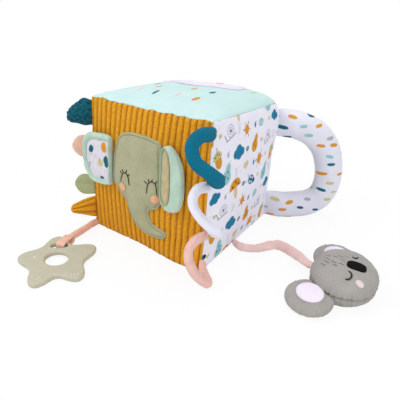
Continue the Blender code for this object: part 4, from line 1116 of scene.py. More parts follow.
# Dashes on the top panel: middle, length, width and turn, with their colours.
TOP_DASHES = (
    (-42.2, -2.8, 12, 3.2, 90, PRINT_DEEP), (-25.8, -21.5, 11, 3.2, 84, PRINT_MUSTARD),
    (-33.7, -42.1, 14, 2.6, 98, PRINT_ROSE), (-12.5, -44.3, 14, 3.4, 96, PRINT_DEEP),
    (8.8, -5.4, 12, 3.6, 92, PRINT_MUSTARD), (11.7, -39.3, 11, 3.2, 90, PRINT_ROSE),
    (34.2, -41.1, 13, 5, 86, PRINT_MUSTARD), (33, -8.1, 11, 4.4, 86, PRINT_DEEP),
    (-58, 22, 10, 2.6, 88, PRINT_ROSE), (-34, 30, 11, 3, 94, PRINT_GREY), (56, 40, 11, 3, 80, PRINT_KHAKI),
)


def printed_top():
    """The mint top with its slanting dashes, most of them in front of the cloud."""
    size = 230
    across, up = square_grid(size, size)
    cloth = Print(across * half_side, up * half_side, TOP_MINT)
    cloth.dashes(TOP_DASHES)
    printed_panel("top", size, cloth, mint_print)


# Straps

STAR_STRAP_ROUTE = np.array((
    (-72.6, -75.1, 5.0), (-72.4, -84.0, 4.8), (-71.2, -93.0, 4.8), (-70.0, -102.0, 4.9),
    (-69.0, -111.0, 5.1), (-68.1, -119.5, 5.3),
)) * MM
KOALA_STRAP_ROUTE = np.array((
    (80.2, -11.9, 4.8), (87.0, -15.5, 4.8), (95.0, -15.0, 4.8), (105.5, -8.5, 4.8),
    (111.5, 0.5, 4.8), (117.0, 9.5, 4.8), (124.0, 14.5, 4.9), (131.5, 12.5, 5.5),
    (139.0, 9.0, 6.3), (147.0, 4.0, 7.5), (155.0, -2.5, 9.0), (161.0, -8.5, 10.5),
    (169.1, -13.6, 11.6),
)) * MM


strap_tuck = 3.6 * MM


def strap(name, controls, finish, twists, widths, strap_depth, ahead):
    """A narrow padded strap of pink velour, sewn at both ends, that turns as it goes."""
    route = smooth_line(controls, 9 * len(controls))
    start = route[0] - unit(route[1] - route[0]) * strap_tuck
    end = route[-1] + unit(route[-1] - route[-2]) * ahead
    route = np.concatenate([start[None], route, end[None]])
    along = length_so_far(route)
    share = along / along[-1]
    ends = np.clip(np.minimum(along, along[-1] - along) / (4 * MM), 0.25, 1) ** 0.5
    turn = np.interp(share, np.linspace(0, 1, len(twists)), np.array(twists) * DEGREE)
    crease = 1 + 0.07 * ripple(along, 11 * MM, 8)
    wide = np.interp(share, np.linspace(0, 1, len(widths)), np.array(widths) * MM)
    broad = wide / 2 * ends * (2 - crease)
    deep = strap_depth / 2 * ends * crease
    rings = tube_rings(route, broad, deep, (0.6, 0.8, 0), 28, squareness=2.4, twist=turn)
    centre = rings.mean(1)[:, None]
    pinch = 1 - 0.05 * np.abs(ripple(along, 7 * MM, 3))[:, None, None]
    rings = centre + (rings - centre) * pinch
    rings[..., 2] = np.maximum(rings[..., 2], 0.3 * MM)
    made = closed_skin(name + "_sleeve", rings, finish)
    dressed(made, name, name)


def straps():
    """The star's strap and the koala's, each sewn into the block's lower seam."""
    strap("star_strap", STAR_STRAP_ROUTE, star_strap_velour, (10, 24, 30, 22, 10, 4),
          (7.2, 7.8, 8.0, 8.0, 8.0), 7.4 * MM, 0.6 * MM)
    strap("koala_strap", KOALA_STRAP_ROUTE, strap_velour, (70, 40, 25, 40, 58, 62, 50, 30, 12, 4),
          (6.5, 9.4, 9.2, 10.2, 11.2, 11.4, 10.8, 9.4, 8.6), 5.8 * MM, 3.6 * MM)


# Cloth under pressure


cloth_frames = 20
CLOTH_SETTINGS = {
    "quality": 6, "mass": 0.2, "tension_stiffness": 18, "compression_stiffness": 6,
    "shear_stiffness": 6, "bending_stiffness": 0.4, "use_pressure": True, "vertex_group_mass": "held",
}


def inflated(rings, pins, pressure, cap, shrink=0.0):
    """Rings of a closed cloth skin after it has swollen like a stuffed one.

    pins says how firmly each point is held, from 0 to 1; no point moves further than cap.
    """
    skin = closed_skin("cloth_trial", rings, snow_velour)
    held = skin.vertex_groups.new(name="held")
    for index, weight in enumerate(np.ravel(pins)):
        if weight > 0:
            held.add([index], float(weight), "REPLACE")
    cloth = skin.modifiers.new("cloth", "CLOTH")
    for setting, value in CLOTH_SETTINGS.items():
        setattr(cloth.settings, setting, value)
    cloth.settings.uniform_pressure_force = pressure
    cloth.settings.shrink_min = shrink
    cloth.settings.effector_weights.gravity = 0
    cloth.collision_settings.use_collision = False
    cloth.point_cache.frame_start = 1
    cloth.point_cache.frame_end = cloth_frames
    for step in range(1, cloth_frames + 1):
        bpy.context.scene.frame_set(step)
    shown = skin.evaluated_get(bpy.context.evaluated_depsgraph_get())
    moved = np.zeros(len(skin.data.vertices) * 3, np.float32)
    shown.data.vertices.foreach_get("co", moved)
    bpy.context.scene.frame_set(1)
    bpy.data.objects.remove(skin)
    shift = moved.reshape(-1, 3)[:-2].reshape(rings.shape).astype(float) - rings
    reach = np.linalg.norm(shift, axis=2)[..., None]
    return rings + shift * np.minimum(1, cap / (reach + 1e-9))


def divided(points, times, closed):
    """Rows of points with more rows between them, along smooth curves."""
    if closed:
        padded = np.concatenate([points[-1:], points, points[:2]])
    else:
        padded = np.concatenate([2 * points[:1] - points[1:2], points, 2 * points[-1:] - points[-2:-1]])
    knots = padded[:-3], padded[1:-2], padded[2:-1], padded[3:]
    fine = np.stack([curve_points(knots, step / times) for step in range(times)], 1)
    fine = fine.reshape(-1, *points.shape[1:])
    return fine if closed else np.concatenate([fine, points[-1:]])


def finer(rings, along_times, around_times):
    """The same skin with its rings and its sides divided."""
    rings = divided(rings, along_times, False)
    return np.swapaxes(divided(np.swapaxes(rings, 0, 1), around_times, True), 0, 1)


def stuffed(rings, along_step, around_step, pins, pressure, cap, shrink=0.0):
    """Fine rings swollen as their own coarser skin swells under pressure."""
    rows, columns = rings.shape[:2]
    picked = np.unique(np.append(np.arange(0, rows, along_step), rows - 1))
    coarse = rings[picked][:, ::around_step]
    moved = inflated(coarse, pins[picked][:, ::around_step], pressure, cap, shrink)
    shift = moved - coarse
    side = np.arange(columns) / around_step
    before = np.floor(side).astype(int)
    part = (side - before)[None, :, None]
    count = coarse.shape[1]
    around = shift[:, before % count] * (1 - part) + shift[:, (before + 1) % count] * part
    line = np.arange(rows)
    after = np.clip(np.searchsorted(picked, line, side="right"), 1, len(picked) - 1)
    share = ((line - picked[after - 1]) / (picked[after] - picked[after - 1]))[:, None, None]
    return rings + around[after - 1] * (1 - share) + around[after] * share


# Loops

loop_reach = 25 * MM
loop_lead = 2.2 * MM
loop_root_gap = 0.6 * MM
SEAM_OUT = np.array((1, -1, 0)) / math.sqrt(2)
SEAM_LEFT = np.array((-1, -1, 0)) / math.sqrt(2)
LOOP_SEAM = np.array((half_side, -half_side, 0))

# Routes of the loops: distance to the left of the seam, distance out from it and height
# over the loop's upper end, as shares of the reach.
TEAL_LOOP = (
    (0.04, 0, 0), (0.22, 0.28, 0.05), (0.52, 0.52, 0.1), (0.81, 0.7, -0.04),
    (0.92, 0.8, -0.3), (0.79, 0.92, -0.7), (0.5, 1.0, -0.94), (0.15, 1.02, -1.18),
    (-0.12, 0.86, -1.42), (-0.13, 0.54, -1.6), (-0.02, 0.26, -1.6), (0.02, 0, -1.56),
)
WHITE_LOOP = (
    (0.02, 0, 0), (0.3, 0.26, 0.12), (0.58, 0.5, 0.12), (0.75, 0.7, -0.06),
    (0.74, 0.8, -0.32), (0.6, 0.9, -0.6), (0.36, 0.98, -0.88), (0.08, 1.02, -1.14),
    (-0.2, 0.98, -1.34), (-0.3, 0.76, -1.54), (-0.16, 0.46, -1.66), (0.0, 0, -1.58),
)
PINK_LOOP = (
    (-0.01, 0, 0), (0.28, 0.26, 0.06), (0.58, 0.5, 0.02), (0.78, 0.74, -0.2),
    (0.78, 0.92, -0.55), (0.6, 1.06, -0.92), (0.35, 1.14, -1.2), (0.1, 1.14, -1.4),
    (0.0, 0.94, -1.44), (0.04, 0.62, -1.38), (0.05, 0.28, -1.33), (0.0, 0, -1.28),
)


def padded_loop(name, finish, widths, top, shares, crease, seed):
    """A stuffed velour loop: a seam down its inner side gathers it where it bends."""
    left, out, rise = np.array(shares).T[..., None] * loop_reach
    seam = LOOP_SEAM + SEAM_OUT * (loop_root_gap + loop_lead) + UP * top
    route = smooth_line(seam + SEAM_LEFT * left + SEAM_OUT * out + UP * rise, 130)
    lead = SEAM_OUT * (loop_lead + loop_root_gap + 1.5 * MM)
    route = np.concatenate([route[:1] - lead, route, route[-1:] - lead])
    along = length_so_far(route)
    share = along / along[-1]
    nearest_end = np.clip(np.minimum(share, 1 - share) / 0.12, 0, 1)
    deep_end = 0.5 + 0.5 * nearest_end**0.6
    broad_end = 0.8 + 0.2 * nearest_end**0.6
    width = np.interp(share, (0, 0.5, 1), np.array(widths) * MM)
    sides = 44
    rings = tube_rings(route, width / 2 * broad_end, 0.78 * width / 2 * deep_end, (0, 0, 1), sides, 2.3)
    bend = np.gradient(unit(np.gradient(route, axis=0)), axis=0) / np.gradient(along)[:, None]
    tight = np.linalg.norm(bend, axis=1)
    inward = bend / (tight[:, None] + 1e-9)
    outward = rings - route[:, None]
    away = outward / (np.linalg.norm(outward, axis=2)[..., None] + 1e-9)
    inner = np.clip(np.einsum("rsk,rk->rs", away, inward), 0, 1)
    folds = np.abs(ripple(along, 7 * MM, seed))[:, None]
    depth = crease * MM * np.clip(tight / 60, 0, 1)[:, None] * inner * folds
    seam = hump(turned_from(all_round(sides)[None, :], -math.pi / 2), 0, 0.09)
    pins = np.zeros(rings.shape[:2])
    pins[:3] = pins[-3:] = 1
    rings = stuffed(rings, 2, 2, pins, 2.0, 0.9 * MM)
    rings = rings - away * (depth + 0.45 * MM * seam)[..., None]
    rings = rings + away * (0.15 * MM * rumple(rings, 15 * MM, seed))[..., None]
    rings[..., 2] = np.maximum(rings[..., 2], 0.3 * MM)
    made = closed_skin(name + "_loop", rings, finish)
    dressed(made, name + "_loop", name + "_loop_cover")
    filled = (route[:, None] + 0.7 * (rings - route[:, None]))[3:-3:2, ::2]
    core = closed_skin(name + "_loop_wadding", filled, fibre_wadding)
    dressed(core, name + "_loop", name + "_loop_filling")


def loops():
    """The three loops on the front right seam."""
    padded_loop("teal", teal_velour, (13, 12.8, 12), 144.5 * MM, TEAL_LOOP, 0.3, 2)
    padded_loop("white", snow_velour, (10.4, 10.2, 6.6), 93.5 * MM, WHITE_LOOP, 0.5, 5)
    padded_loop("pink", pink_velour, (10.4, 10.8, 9.4), 42 * MM, PINK_LOOP, 0.6, 9)


# Handle

handle_reach = 83 * MM
handle_top = 126.5 * MM
handle_low = 17.6 * MM
handle_width = 34 * MM
handle_depth = 30 * MM
handle_root = 2 * MM
HANDLE_OUT = np.array((1, 1, 0)) / math.sqrt(2)
HANDLE_AXIS = np.array((half_side, half_side, 0)) + HANDLE_OUT * 1.3 * MM
HANDLE_LINE = (
    (0, 1.0), (0.08, 1.0), (0.32, 0.975), (0.6, 0.89), (0.83, 0.73), (0.95, 0.54),
    (1.0, 0.36), (0.985, 0.2), (0.91, 0.09), (0.75, 0.02), (0.55, 0.0), (0.3, 0.0),
    (0.08, 0.03), (0, 0.03),
)
HANDLE_COLOURS = (
    PRINT_DEEP, PRINT_MUSTARD, PRINT_KHAKI, PRINT_AQUA, PRINT_DEEP, PRINT_MUSTARD, PRINT_GREY,
)


def handle_dashes(cloth, low, high):
    """Dashes of mixed colours in a staggered grid, each a little off its place."""
    places, looks = np.random.default_rng(31), np.random.default_rng(8)
    step, rise, length, width = np.array((24, 12, 10.5, 4.1)) * MM
    for row, level in enumerate(np.arange(-7.5 * MM, 150 * MM, rise)):
        for start in np.arange(low + 0.5 * step * (row % 2), high, step):
            x = start + places.uniform(-0.22, 0.22) * step
            y = level + places.uniform(-0.22, 0.22) * rise
            colour = HANDLE_COLOURS[looks.integers(len(HANDLE_COLOURS))]
            size = looks.uniform(0.85, 1.15)
            seen = cloth.local(x, y, looks.uniform(-0.22, 0.22))
            cloth.dab(dash(*seen, length * size, width * size), colour)


def handle():
    """The stuffed handle: two D-shaped cuts of printed cotton, gathered at their seams."""
    out, high = np.array(HANDLE_LINE).T[..., None]
    level = handle_low + high * (handle_top - handle_low)
    route = smooth_line(HANDLE_AXIS + HANDLE_OUT * (out * handle_reach) + UP * level, 84)
    tuck = HANDLE_OUT * 3.5 * MM
    route = np.concatenate([route[:1] - tuck, route, route[-1:] - tuck])
    out = (route - HANDLE_AXIS) @ HANDLE_OUT / handle_reach
    swell = np.clip(out / 0.26, 0, 1)
    deep = handle_root + (handle_depth / 2 - handle_root) * np.sin(swell * math.pi / 2)
    broad = handle_width / 2 * (0.98 + 0.07 * np.clip(out, 0, 1))
    rings = tube_rings(route, broad, deep * 0.97, (0, 0, 1), 40)
    pins = np.zeros(rings.shape[:2])
    pins[:2] = pins[-2:] = 1
    pins[:, 0] = pins[:, 20] = 0.6
    rings = inflated(rings, pins, 3.0, 1.6 * MM)
    rings = finer(rings, 5, 4)
    line = finer(route[:, None].repeat(4, 1), 5, 1)[:, 0]
    along = length_so_far(line)
    turn = all_round(rings.shape[1])
    middle = np.array((0, 0, 72 * MM)) + HANDLE_AXIS + HANDLE_OUT * 35 * MM
    away = unit(rings - line[:, None])
    sunk = 0
    for seam_turn, seam_side in ((0, 0), (math.pi, len(turn) // 2)):
        aside = turned_from(turn, seam_turn)[None, :]
        inner = (np.einsum("rk,rk->r", middle - line, away[:, seam_side]) > 0)[:, None]
        gather = ripple(along, 8 * MM, 6 + int(seam_turn))[:, None]
        sunk = sunk + hump(aside, 0, 0.05) * 0.7 * MM
        depth = np.where(inner, 0.8, 0.35) * MM
        sunk = sunk + depth * (0.5 + 0.5 * gather) * np.exp(-np.abs(aside) / 0.28)
    sunk = sunk * np.clip(np.minimum(along, along[-1] - along) / (12 * MM), 0.2, 1)[:, None]
    rings = rings - away * sunk[..., None]
    flat_out = (rings - HANDLE_AXIS) @ HANDLE_OUT
    front = np.sin(turn)[None, :] > 0
    cloth = Print(np.where(front, flat_out, -flat_out - 200 * MM), rings[..., 2], SNOW)
    for low, high in ((-6 * MM, 112 * MM), (-312 * MM, -190 * MM)):
        handle_dashes(cloth, low, high)
    made = closed_skin("handle_sleeve", rings, handle_print, {"print": cloth.colours})
    dressed(made, "handle", "handle_cover")


# Tags

TAG_SEAM = np.array((-half_side, -half_side, 0))
TAG_AXIS = TAG_SEAM + np.array((-1, -1, 0)) / math.sqrt(2) * 0.7 * MM


def tag_rings(heading, middle, reach, tuck, droop, outline, thickness, rows, sides, fullness):
    """Rings of a flat padded tag that stands out from the front left seam."""
    direction = np.array((math.cos(heading), math.sin(heading), 0))
    beside = np.array((-direction[1], direction[0], 0))
    along = np.sin(np.linspace(0, 1, rows) * math.pi / 2)
    turn = all_round(sides)
    rings = []
    for share in along:
        full = max(1 - (2 * share - 1) ** 2, 0) ** 0.5
        half = 0.6 * MM + (thickness / 2 - 0.6 * MM) * full ** fullness
        rise = outline(share) * np.cos(turn)
        thick = half * np.sign(np.sin(turn)) * np.abs(np.sin(turn)) ** 0.75
        level = middle + rise - droop * share**2
        spot = TAG_AXIS + direction * (share * (reach + tuck) - tuck)
        ring = spot + thick[:, None] * beside
        ring[:, 2] = level
        rings.append(ring)
    return np.array(rings), along, turn, direction, beside


def flower_tag():
    """The dark teal plush flower, three round petals deep."""
    def outline(share):
        width = math.sqrt(max(1 - share**2.4, 0.34**2))
        width *= 1 - 0.12 * abs(math.cos(1.5 * math.pi * share)) ** 2
        return 15 * MM * width
    rings, along, turn, direction, _ = tag_rings(
        225 * DEGREE, 135 * MM, 22 * MM, 2.8 * MM, 4 * MM, outline, 8.5 * MM, 60, 60, 0.6)
    centre = rings.mean(1)[:, None]
    lobes = 1 + 0.10 * np.cos(3 * turn + 0.5)[None, :] * np.sin(along * math.pi)[:, None]
    rings = centre + (rings - centre) * lobes[..., None]
    scallop = 1.3 * MM * np.abs(np.sin(2.5 * turn))[None, :] * along[:, None] ** 2
    rings = rings + scallop[..., None] * direction
    rings = rings + (0.5 * MM * rumple(rings, 5 * MM, 12))[..., None] * direction
    made = closed_skin("flower", rings, teal_plush)
    dressed(made, "flower_tag", "flower_tag")


def round_tab(name, middle, finish, crease, seed):
    """A velour tab, folded over a thin pad and sewn round its edge."""
    def outline(share):
        width = 0.86 + 0.14 * math.sin(math.pi * share)
        if share > 0.5:
            width *= math.sqrt(max(1 - (2 * share - 1) ** 2, 0.3**2))
        return 12.5 * MM * width
    rings, along, turn, _, beside = tag_rings(
        200 * DEGREE, middle, 22 * MM, 2.4 * MM, 2 * MM, outline, 3.4 * MM, 70, 56, 0.35)
    high = (rings[..., 2] - middle) / (12.5 * MM)
    fold = crease * hump(high, 0, 0.16) * np.sin(along * math.pi)[:, None] ** 0.5
    swell = 0.6 * MM * rumple(rings, 16 * MM, seed)
    rings = rings - (fold * 1.2 * MM * np.sign(np.sin(turn))[None, :])[..., None] * beside
    rings = rings + (swell * along[:, None])[..., None] * beside
    made = closed_skin(name + "_velour", rings, finish)
    dressed(made, name, name)


def corduroy_spike():
    """The mustard corduroy spike; its wales run together towards the tip."""
    def outline(share):
        width = 1 - 0.74 * share**1.2
        width *= math.sqrt(max(1 - max(share - 0.86, 0) ** 2 / 0.14**2, 0.02))
        return 13 * MM * width
    rings, along, turn, _, _ = tag_rings(
        225 * DEGREE, 24.5 * MM, 26 * MM, 2.8 * MM, 2.5 * MM, outline, 12.5 * MM, 70, 96, 0.6)
    cut = np.broadcast_to(np.arccos(np.cos(turn))[None, :] / math.pi * 27 * MM, rings.shape[:2])
    proud = np.clip(np.minimum(along, 1 - along) / 0.08, 0, 1)[:, None] * np.ones_like(cut)
    made = closed_skin("spike", rings, mustard_corduroy, {"cut": cut, "proud": proud})
    grow(made, corduroy_wales, Finish=mustard_corduroy)
    dressed(made, "corduroy_spike", "corduroy_spike")


def tags():
    """The four tags on the front left seam."""
    flower_tag()
    round_tab("pink_tab", 97.5 * MM, blush_velour, 0.0, 3)
    round_tab("green_tab", 52 * MM, leaf_velour, 1.0, 5)
    corduroy_spike()


# Elephant

elephant_loft = 5.4 * MM
elephant_edge = 2.3 * MM
stitch_inset = 2.7 * MM

# Left and right edge of the head and trunk, from the crown to the trunk's tip, in
# millimetres over the front panel.
ELEPHANT_EDGES = np.array((
    ((-14.0, 127.6), (3.0, 127.6)), ((-24.2, 124.9), (14.0, 126.1)), ((-31.0, 118.6), (23.0, 122.8)),
    ((-35.4, 103.0), (25.4, 106.0)), ((-37.2, 88.0), (27.2, 91.0)), ((-37.7, 77.0), (27.2, 77.0)),
    ((-36.3, 69.0), (26.4, 66.0)), ((-31.0, 64.2), (23.4, 57.0)), ((-26.0, 58.0), (17.6, 52.9)),
    ((-20.6, 53.4), (12.4, 52.4)), ((-17.5, 46.5), (11.0, 47.4)), ((-15.0, 39.0), (12.7, 40.6)),
    ((-11.2, 31.2), (16.1, 36.0)), ((-3.0, 23.9), (21.5, 33.7)), ((9.0, 19.9), (27.5, 32.9)),
    ((22.0, 20.8), (32.2, 31.3)), ((30.5, 22.6), (34.8, 27.5)),
)) * MM


def front_surface(x, z, height):
    """Points in front of the front panel, a given height off its crowned face."""
    across = x / half_side
    up = (z - block_middle[2]) / half_side
    rise = (1 - np.abs(across) ** crown_power) * (1 - np.abs(up) ** crown_power)
    flat = np.stack([x, -(half_side + wall_crown * rise), z], -1)
    out = settled(flat)[..., 1] - flat[..., 1]
    return np.stack([x, flat[..., 1] + np.minimum(out, 0) - height, z], -1)


def nearest_distance(x, z, line):
    """How far each place is from the nearest stretch of a closed line."""
    best = np.full(x.shape, np.inf)
    for start, end in zip(line, np.roll(line, -1, 0)):
        best = np.minimum(best, bar(x, z, *start, *end, 0))
    return best


def elephant_outline(count):
    """The head's whole outline: down its left edge and up its right one."""
    left = smooth_line(ELEPHANT_EDGES[:, 0], count)
    right = smooth_line(ELEPHANT_EDGES[:, 1], count)
    tip = smooth_line([left[-1], (left[-1] + right[-1]) / 2 + np.array((1.3 * MM, 0)), right[-1]], 5)
    crown = smooth_line([right[0], (left[0] + right[0]) / 2 + np.array((0, 0.6 * MM)), left[0]], 9)
    return np.concatenate([left, tip[1:-1], right[::-1], crown[1:-1]])


def head_height(inside):
    """How far the padded head stands off the panel, at a distance inside its edge."""
    roll = 1 - (1 - np.clip(inside / (1.6 * MM), 0, 1)) ** 2
    edge = elephant_edge * np.sqrt(np.clip(roll, 0, 1))
    fall = np.exp(-np.clip(inside - 2.6 * MM, 0, None) / (6 * MM))
    groove = 0.9 * MM * hump(inside, stitch_inset, 0.7 * MM)
    return edge + (elephant_loft - elephant_edge) * (1 - fall) - groove


def elephant_head():
    """The padded head and trunk, with a row of stitches just inside its rolled edge."""
    rows, columns = 190, 76
    edges = np.stack([smooth_line(ELEPHANT_EDGES[:, side], rows) for side in (0, 1)], 1)
    share = (1 - np.cos(np.linspace(0, math.pi, columns))) / 2
    flat = edges[:, :1] * (1 - share[None, :, None]) + edges[:, 1:] * share[None, :, None]
    x, z = flat[..., 0], flat[..., 1]
    outline = np.concatenate([flat[:, 0], flat[-1, 1:-1], flat[::-1, -1], flat[0, -2:0:-1]])
    inside = nearest_distance(x, z, outline)
    swell = 0.35 * MM * rumple(flat, 38 * MM, 15)
    height = head_height(inside) + swell * np.clip(inside / (12 * MM), 0, 1)
    upper = front_surface(x, z, touch_gap + height)
    lower = front_surface(x, z, touch_gap)
    made = two_layer_piece("elephant_velour", upper, lower, sage_velour)
    dressed(made, "block", "elephant_head")
    run = np.roll(outline, -2, 0) - np.roll(outline, 2, 0)
    run /= np.linalg.norm(run, axis=1)[:, None] + 1e-12
    row = outline + np.stack([-run[:, 1], run[:, 0]], 1) * stitch_inset
    row = row[nearest_distance(row[:, 0], row[:, 1], outline) > 2.3 * MM]
    lift = touch_gap + head_height(np.full(len(row), stitch_inset)) + 0.1 * MM
    line = front_surface(row[:, 0], row[:, 1], lift)
    jump = np.linalg.norm(np.diff(line, axis=0), axis=1) > 6 * MM
    lines = [part for part in np.split(line, np.flatnonzero(jump) + 1) if len(part) > 3]
    stitched("elephant_stitches", lines, sage_thread, 2.4 * MM, 1.9 * MM, 0.55 * MM, "block")


def on_head(x, z, lift):
    """A place on the head's padded face."""
    x, z = np.asarray(x, float) * MM, np.asarray(z, float) * MM
    inside = nearest_distance(x, z, elephant_outline(60))
    return front_surface(x, z, touch_gap + head_height(inside) + lift)


# Closed eyes: the arch of each and then its lashes, in millimetres on the face.
ELEPHANT_EYES = (
    (((-22.8, 74.2), (-22.1, 79.0), (-20.4, 83.1), (-17.6, 85.6), (-14.8, 85.5), (-12.6, 82.5),
      (-11.6, 78.3), (-10.9, 73.4)),
     ((-21.5, 83.7), (-23.1, 86.4)), ((-19.2, 85.2), (-20.3, 89.0)), ((-15.9, 86.1), (-13.7, 89.8)),
     ((-13.2, 83.2), (-10.4, 85.8))),
    (((11.5, 70.9), (12.0, 76.0), (12.7, 80.7), (15.0, 84.0), (18.0, 85.3), (20.6, 83.8),
      (21.9, 80.7), (22.7, 72.1)),
     ((11.9, 81.8), (8.7, 84.0)), ((14.2, 83.8), (13.6, 87.5)), ((17.0, 85.3), (18.2, 88.0)),
     ((21.1, 83.6), (22.5, 87.0))),
)

# Rings of each cheek: share of its reach, and lift off the face in millimetres
CHEEK_RINGS = (
    (0.02, 0.25), (0.6, 0.25), (1.0, 0.3), (1.06, 0.6), (1.0, 1.0), (0.8, 0.85), (0.62, 1.15), (0.02, 1.2),
)


def elephant_face():
    """The sewn eyes and the two felt cheeks."""
    lines = [on_head(*np.array(line).T, 0.1 * MM) for eye in ELEPHANT_EYES for line in eye]
    thread_line("elephant_eyes", lines, 0.6 * MM, lash_thread, "block")
    turn = all_round(40)
    for name in ("elephant_left_cheek", "elephant_right_cheek"):
        low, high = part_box(name)
        x, z = (low[0] + high[0]) / 2 / MM, (low[2] + high[2]) / 2 / MM
        rings = []
        for share, lift in CHEEK_RINGS:
            reach = 4.1 * share
            rings.append(on_head(x + reach * np.cos(turn), z + reach * 1.12 * np.sin(turn), lift * MM))
        made = closed_skin(name + "_felt", rings, peach_felt)
        dressed(made, "block", name)


# Ears

# Outlines: distance from the fold and height from the ear's middle, as shares of its height.
LEFT_EAR = (
    (0, 0.2), (0, 0.45), (0.133, 0.498), (0.332, 0.481), (0.5, 0.463), (0.61, 0.393),
    (0.672, 0.307), (0.698, 0.161), (0.7, 0), (0.686, -0.147), (0.639, -0.286), (0.563, -0.417),
    (0.467, -0.488), (0.31, -0.497), (0.14, -0.491), (0, -0.43), (0, -0.17), (0, 0),
)
RIGHT_EAR = (
    (0, 0.154), (0, 0.385), (0.02, 0.456), (0.123, 0.5), (0.233, 0.43), (0.31, 0.326),
    (0.365, 0.2), (0.388, 0.035), (0.4, -0.125), (0.386, -0.307), (0.343, -0.433),
    (0.262, -0.492), (0.158, -0.5), (0.084, -0.456), (0.02, -0.4), (0, -0.3), (0, -0.077),
)
ear_side_gap = 0.6 * MM
ear_lift = 0.3 * MM
ear_puff = 7 * MM
ear_back = 2.4 * MM
# The lining's cut size, with the edge that turns under the border
lining_cut = 1.1


def elephant_ear(side_name, direction, fold_x, middle, height, shares, hub, window_hub, window,
                 ground, printed):
    """An ear: a stuffed velour border round a lining that lies a little lower."""
    outline = smooth_line(shares, 96, closed=True) * height
    outline[:, 0] = np.maximum(outline[:, 0], 0)
    hub, window_hub = np.array(hub) * height, np.array(window_hub) * height
    inner = window_hub + (outline - hub) * np.array(window)
    rest = half_side + wall_crown * (1 - abs(fold_x / half_side) ** crown_power) * (
        1 - abs((middle - block_middle[2]) / half_side) ** crown_power) + ear_lift

    def ring(flat, depth):
        """A ring of the ear at a depth in front of its back."""
        x = fold_x + direction * (flat[:, 0] + ear_side_gap)
        y = -(rest + np.broadcast_to(depth, len(flat)))
        return np.stack([x, y, middle + flat[:, 1]], 1)

    def window_ring(share):
        """The window's outline, shrunk towards its middle."""
        return window_hub + (inner - window_hub) * share

    span = np.linalg.norm(inner - outline, axis=1)[:, None]
    towards = (inner - outline) / (span + 1e-9)
    steps = np.linalg.norm(np.diff(outline, axis=0, prepend=outline[-1:]), axis=1)
    puff = 1 + 0.06 * ripple(np.cumsum(steps), 14 * MM, 3)
    profile = [ring(hub + (outline - hub) * share * 0.97, 0.0) for share in np.linspace(0.02, 1, 8)[:-1]]
    for angle in np.linspace(-90, 90, 13):
        depth = ear_puff / 2 * (1 + math.sin(angle * DEGREE)) * (puff if angle > 0 else 1)
        inset = (1 - math.cos(angle * DEGREE)) * 2.6 * MM
        profile.append(ring(outline + towards * np.minimum(inset, span * 0.45), depth))
    for share in (0.55, 0.68, 0.8, 0.9, 0.97, 1.0):
        fall = math.cos((share - 0.4) / 0.6 * math.pi / 2) ** 0.6 if share < 1 else 0.0
        depth = ear_back + (ear_puff - ear_back) * max(fall, 0.0)
        profile.append(ring(outline + (inner - outline) * share, depth * puff if share < 0.9 else depth))
    profile += [ring(window_ring(share), 1.6 * MM) for share in (0.985, 0.6, 0.02)]
    cover = closed_skin(side_name + "_ear_velour", np.array(profile), ear_velour)
    dressed(cover, side_name + "_ear", side_name + "_ear_cover")
    rings, places = [], []
    for share in np.linspace(0.02, 1.03, 46):
        flat = window_ring(share)
        wrinkle = 0.8 * MM * ripple(flat[:, 0] * 0.9 + flat[:, 1] * 0.4, 11 * MM, 5)
        wrinkle = wrinkle + 0.5 * MM * ripple(flat[:, 1] - flat[:, 0] * 0.3, 15 * MM, 6)
        depth = 5.4 * MM + wrinkle * (1 - min(share, 1) ** 6) - 1.6 * MM * (share / 1.03) ** 10
        rings.append(ring(flat, depth))
        places.append(flat)
    for share in (1.0, 0.5, 0.02):
        rings.append(ring(window_ring(share), ear_back))
        places.append(window_ring(share))
    places = np.array(places)
    cloth = Print(places[..., 0] * direction, places[..., 1] + middle, ground)
    cloth.dashes(printed)
    piece = closed_skin(side_name + "_ear_cloth", np.array(rings), ear_print, {"print": cloth.colours})
    dressed(piece, side_name + "_ear", side_name + "_ear_lining")
    as_sheet(window_ring(lining_cut))


# Printed dashes on the ears' linings: place out from the fold and height, length, width,
# turn in degrees and colour.
LEFT_LINING = (
    (-26.3, 100.3, 9, 5, 84, PRINT_DEEP), (-8.1, 105.4, 11, 7, 96, PRINT_MUSTARD),
    (-14.1, 87.5, 9, 7, 88, PRINT_KHAKI), (-5.6, 90.4, 13, 6, 90, PRINT_DEEP),
    (-12.1, 71.1, 6, 3.6, 8, PRINT_DEEP), (-30, 82, 7, 4, 70, PRINT_GREY),
)
RIGHT_LINING = (
    (5.2, 110.0, 6, 1.5, 94, PEACH), (5.8, 92.0, 6.5, 1.5, 94, PEACH), (6.2, 73.4, 9, 1.5, 92, PEACH),
)


def elephant_ears():
    """Both ears, each folded forward from the side of the head."""
    elephant_ear("left", -1, -37.73 * MM, 91.3 * MM, 57 * MM, LEFT_EAR, (0.345, 0),
                 (0.3071, -0.022), (0.838, 0.78), dye(226, 222, 232), LEFT_LINING)
    elephant_ear("right", 1, 27.17 * MM, 92.5 * MM, 66.5 * MM, RIGHT_EAR, (0.2, 0),
                 (0.078, 0.01), (0.35, 0.88), dye(200, 188, 148), RIGHT_LINING)


# Star

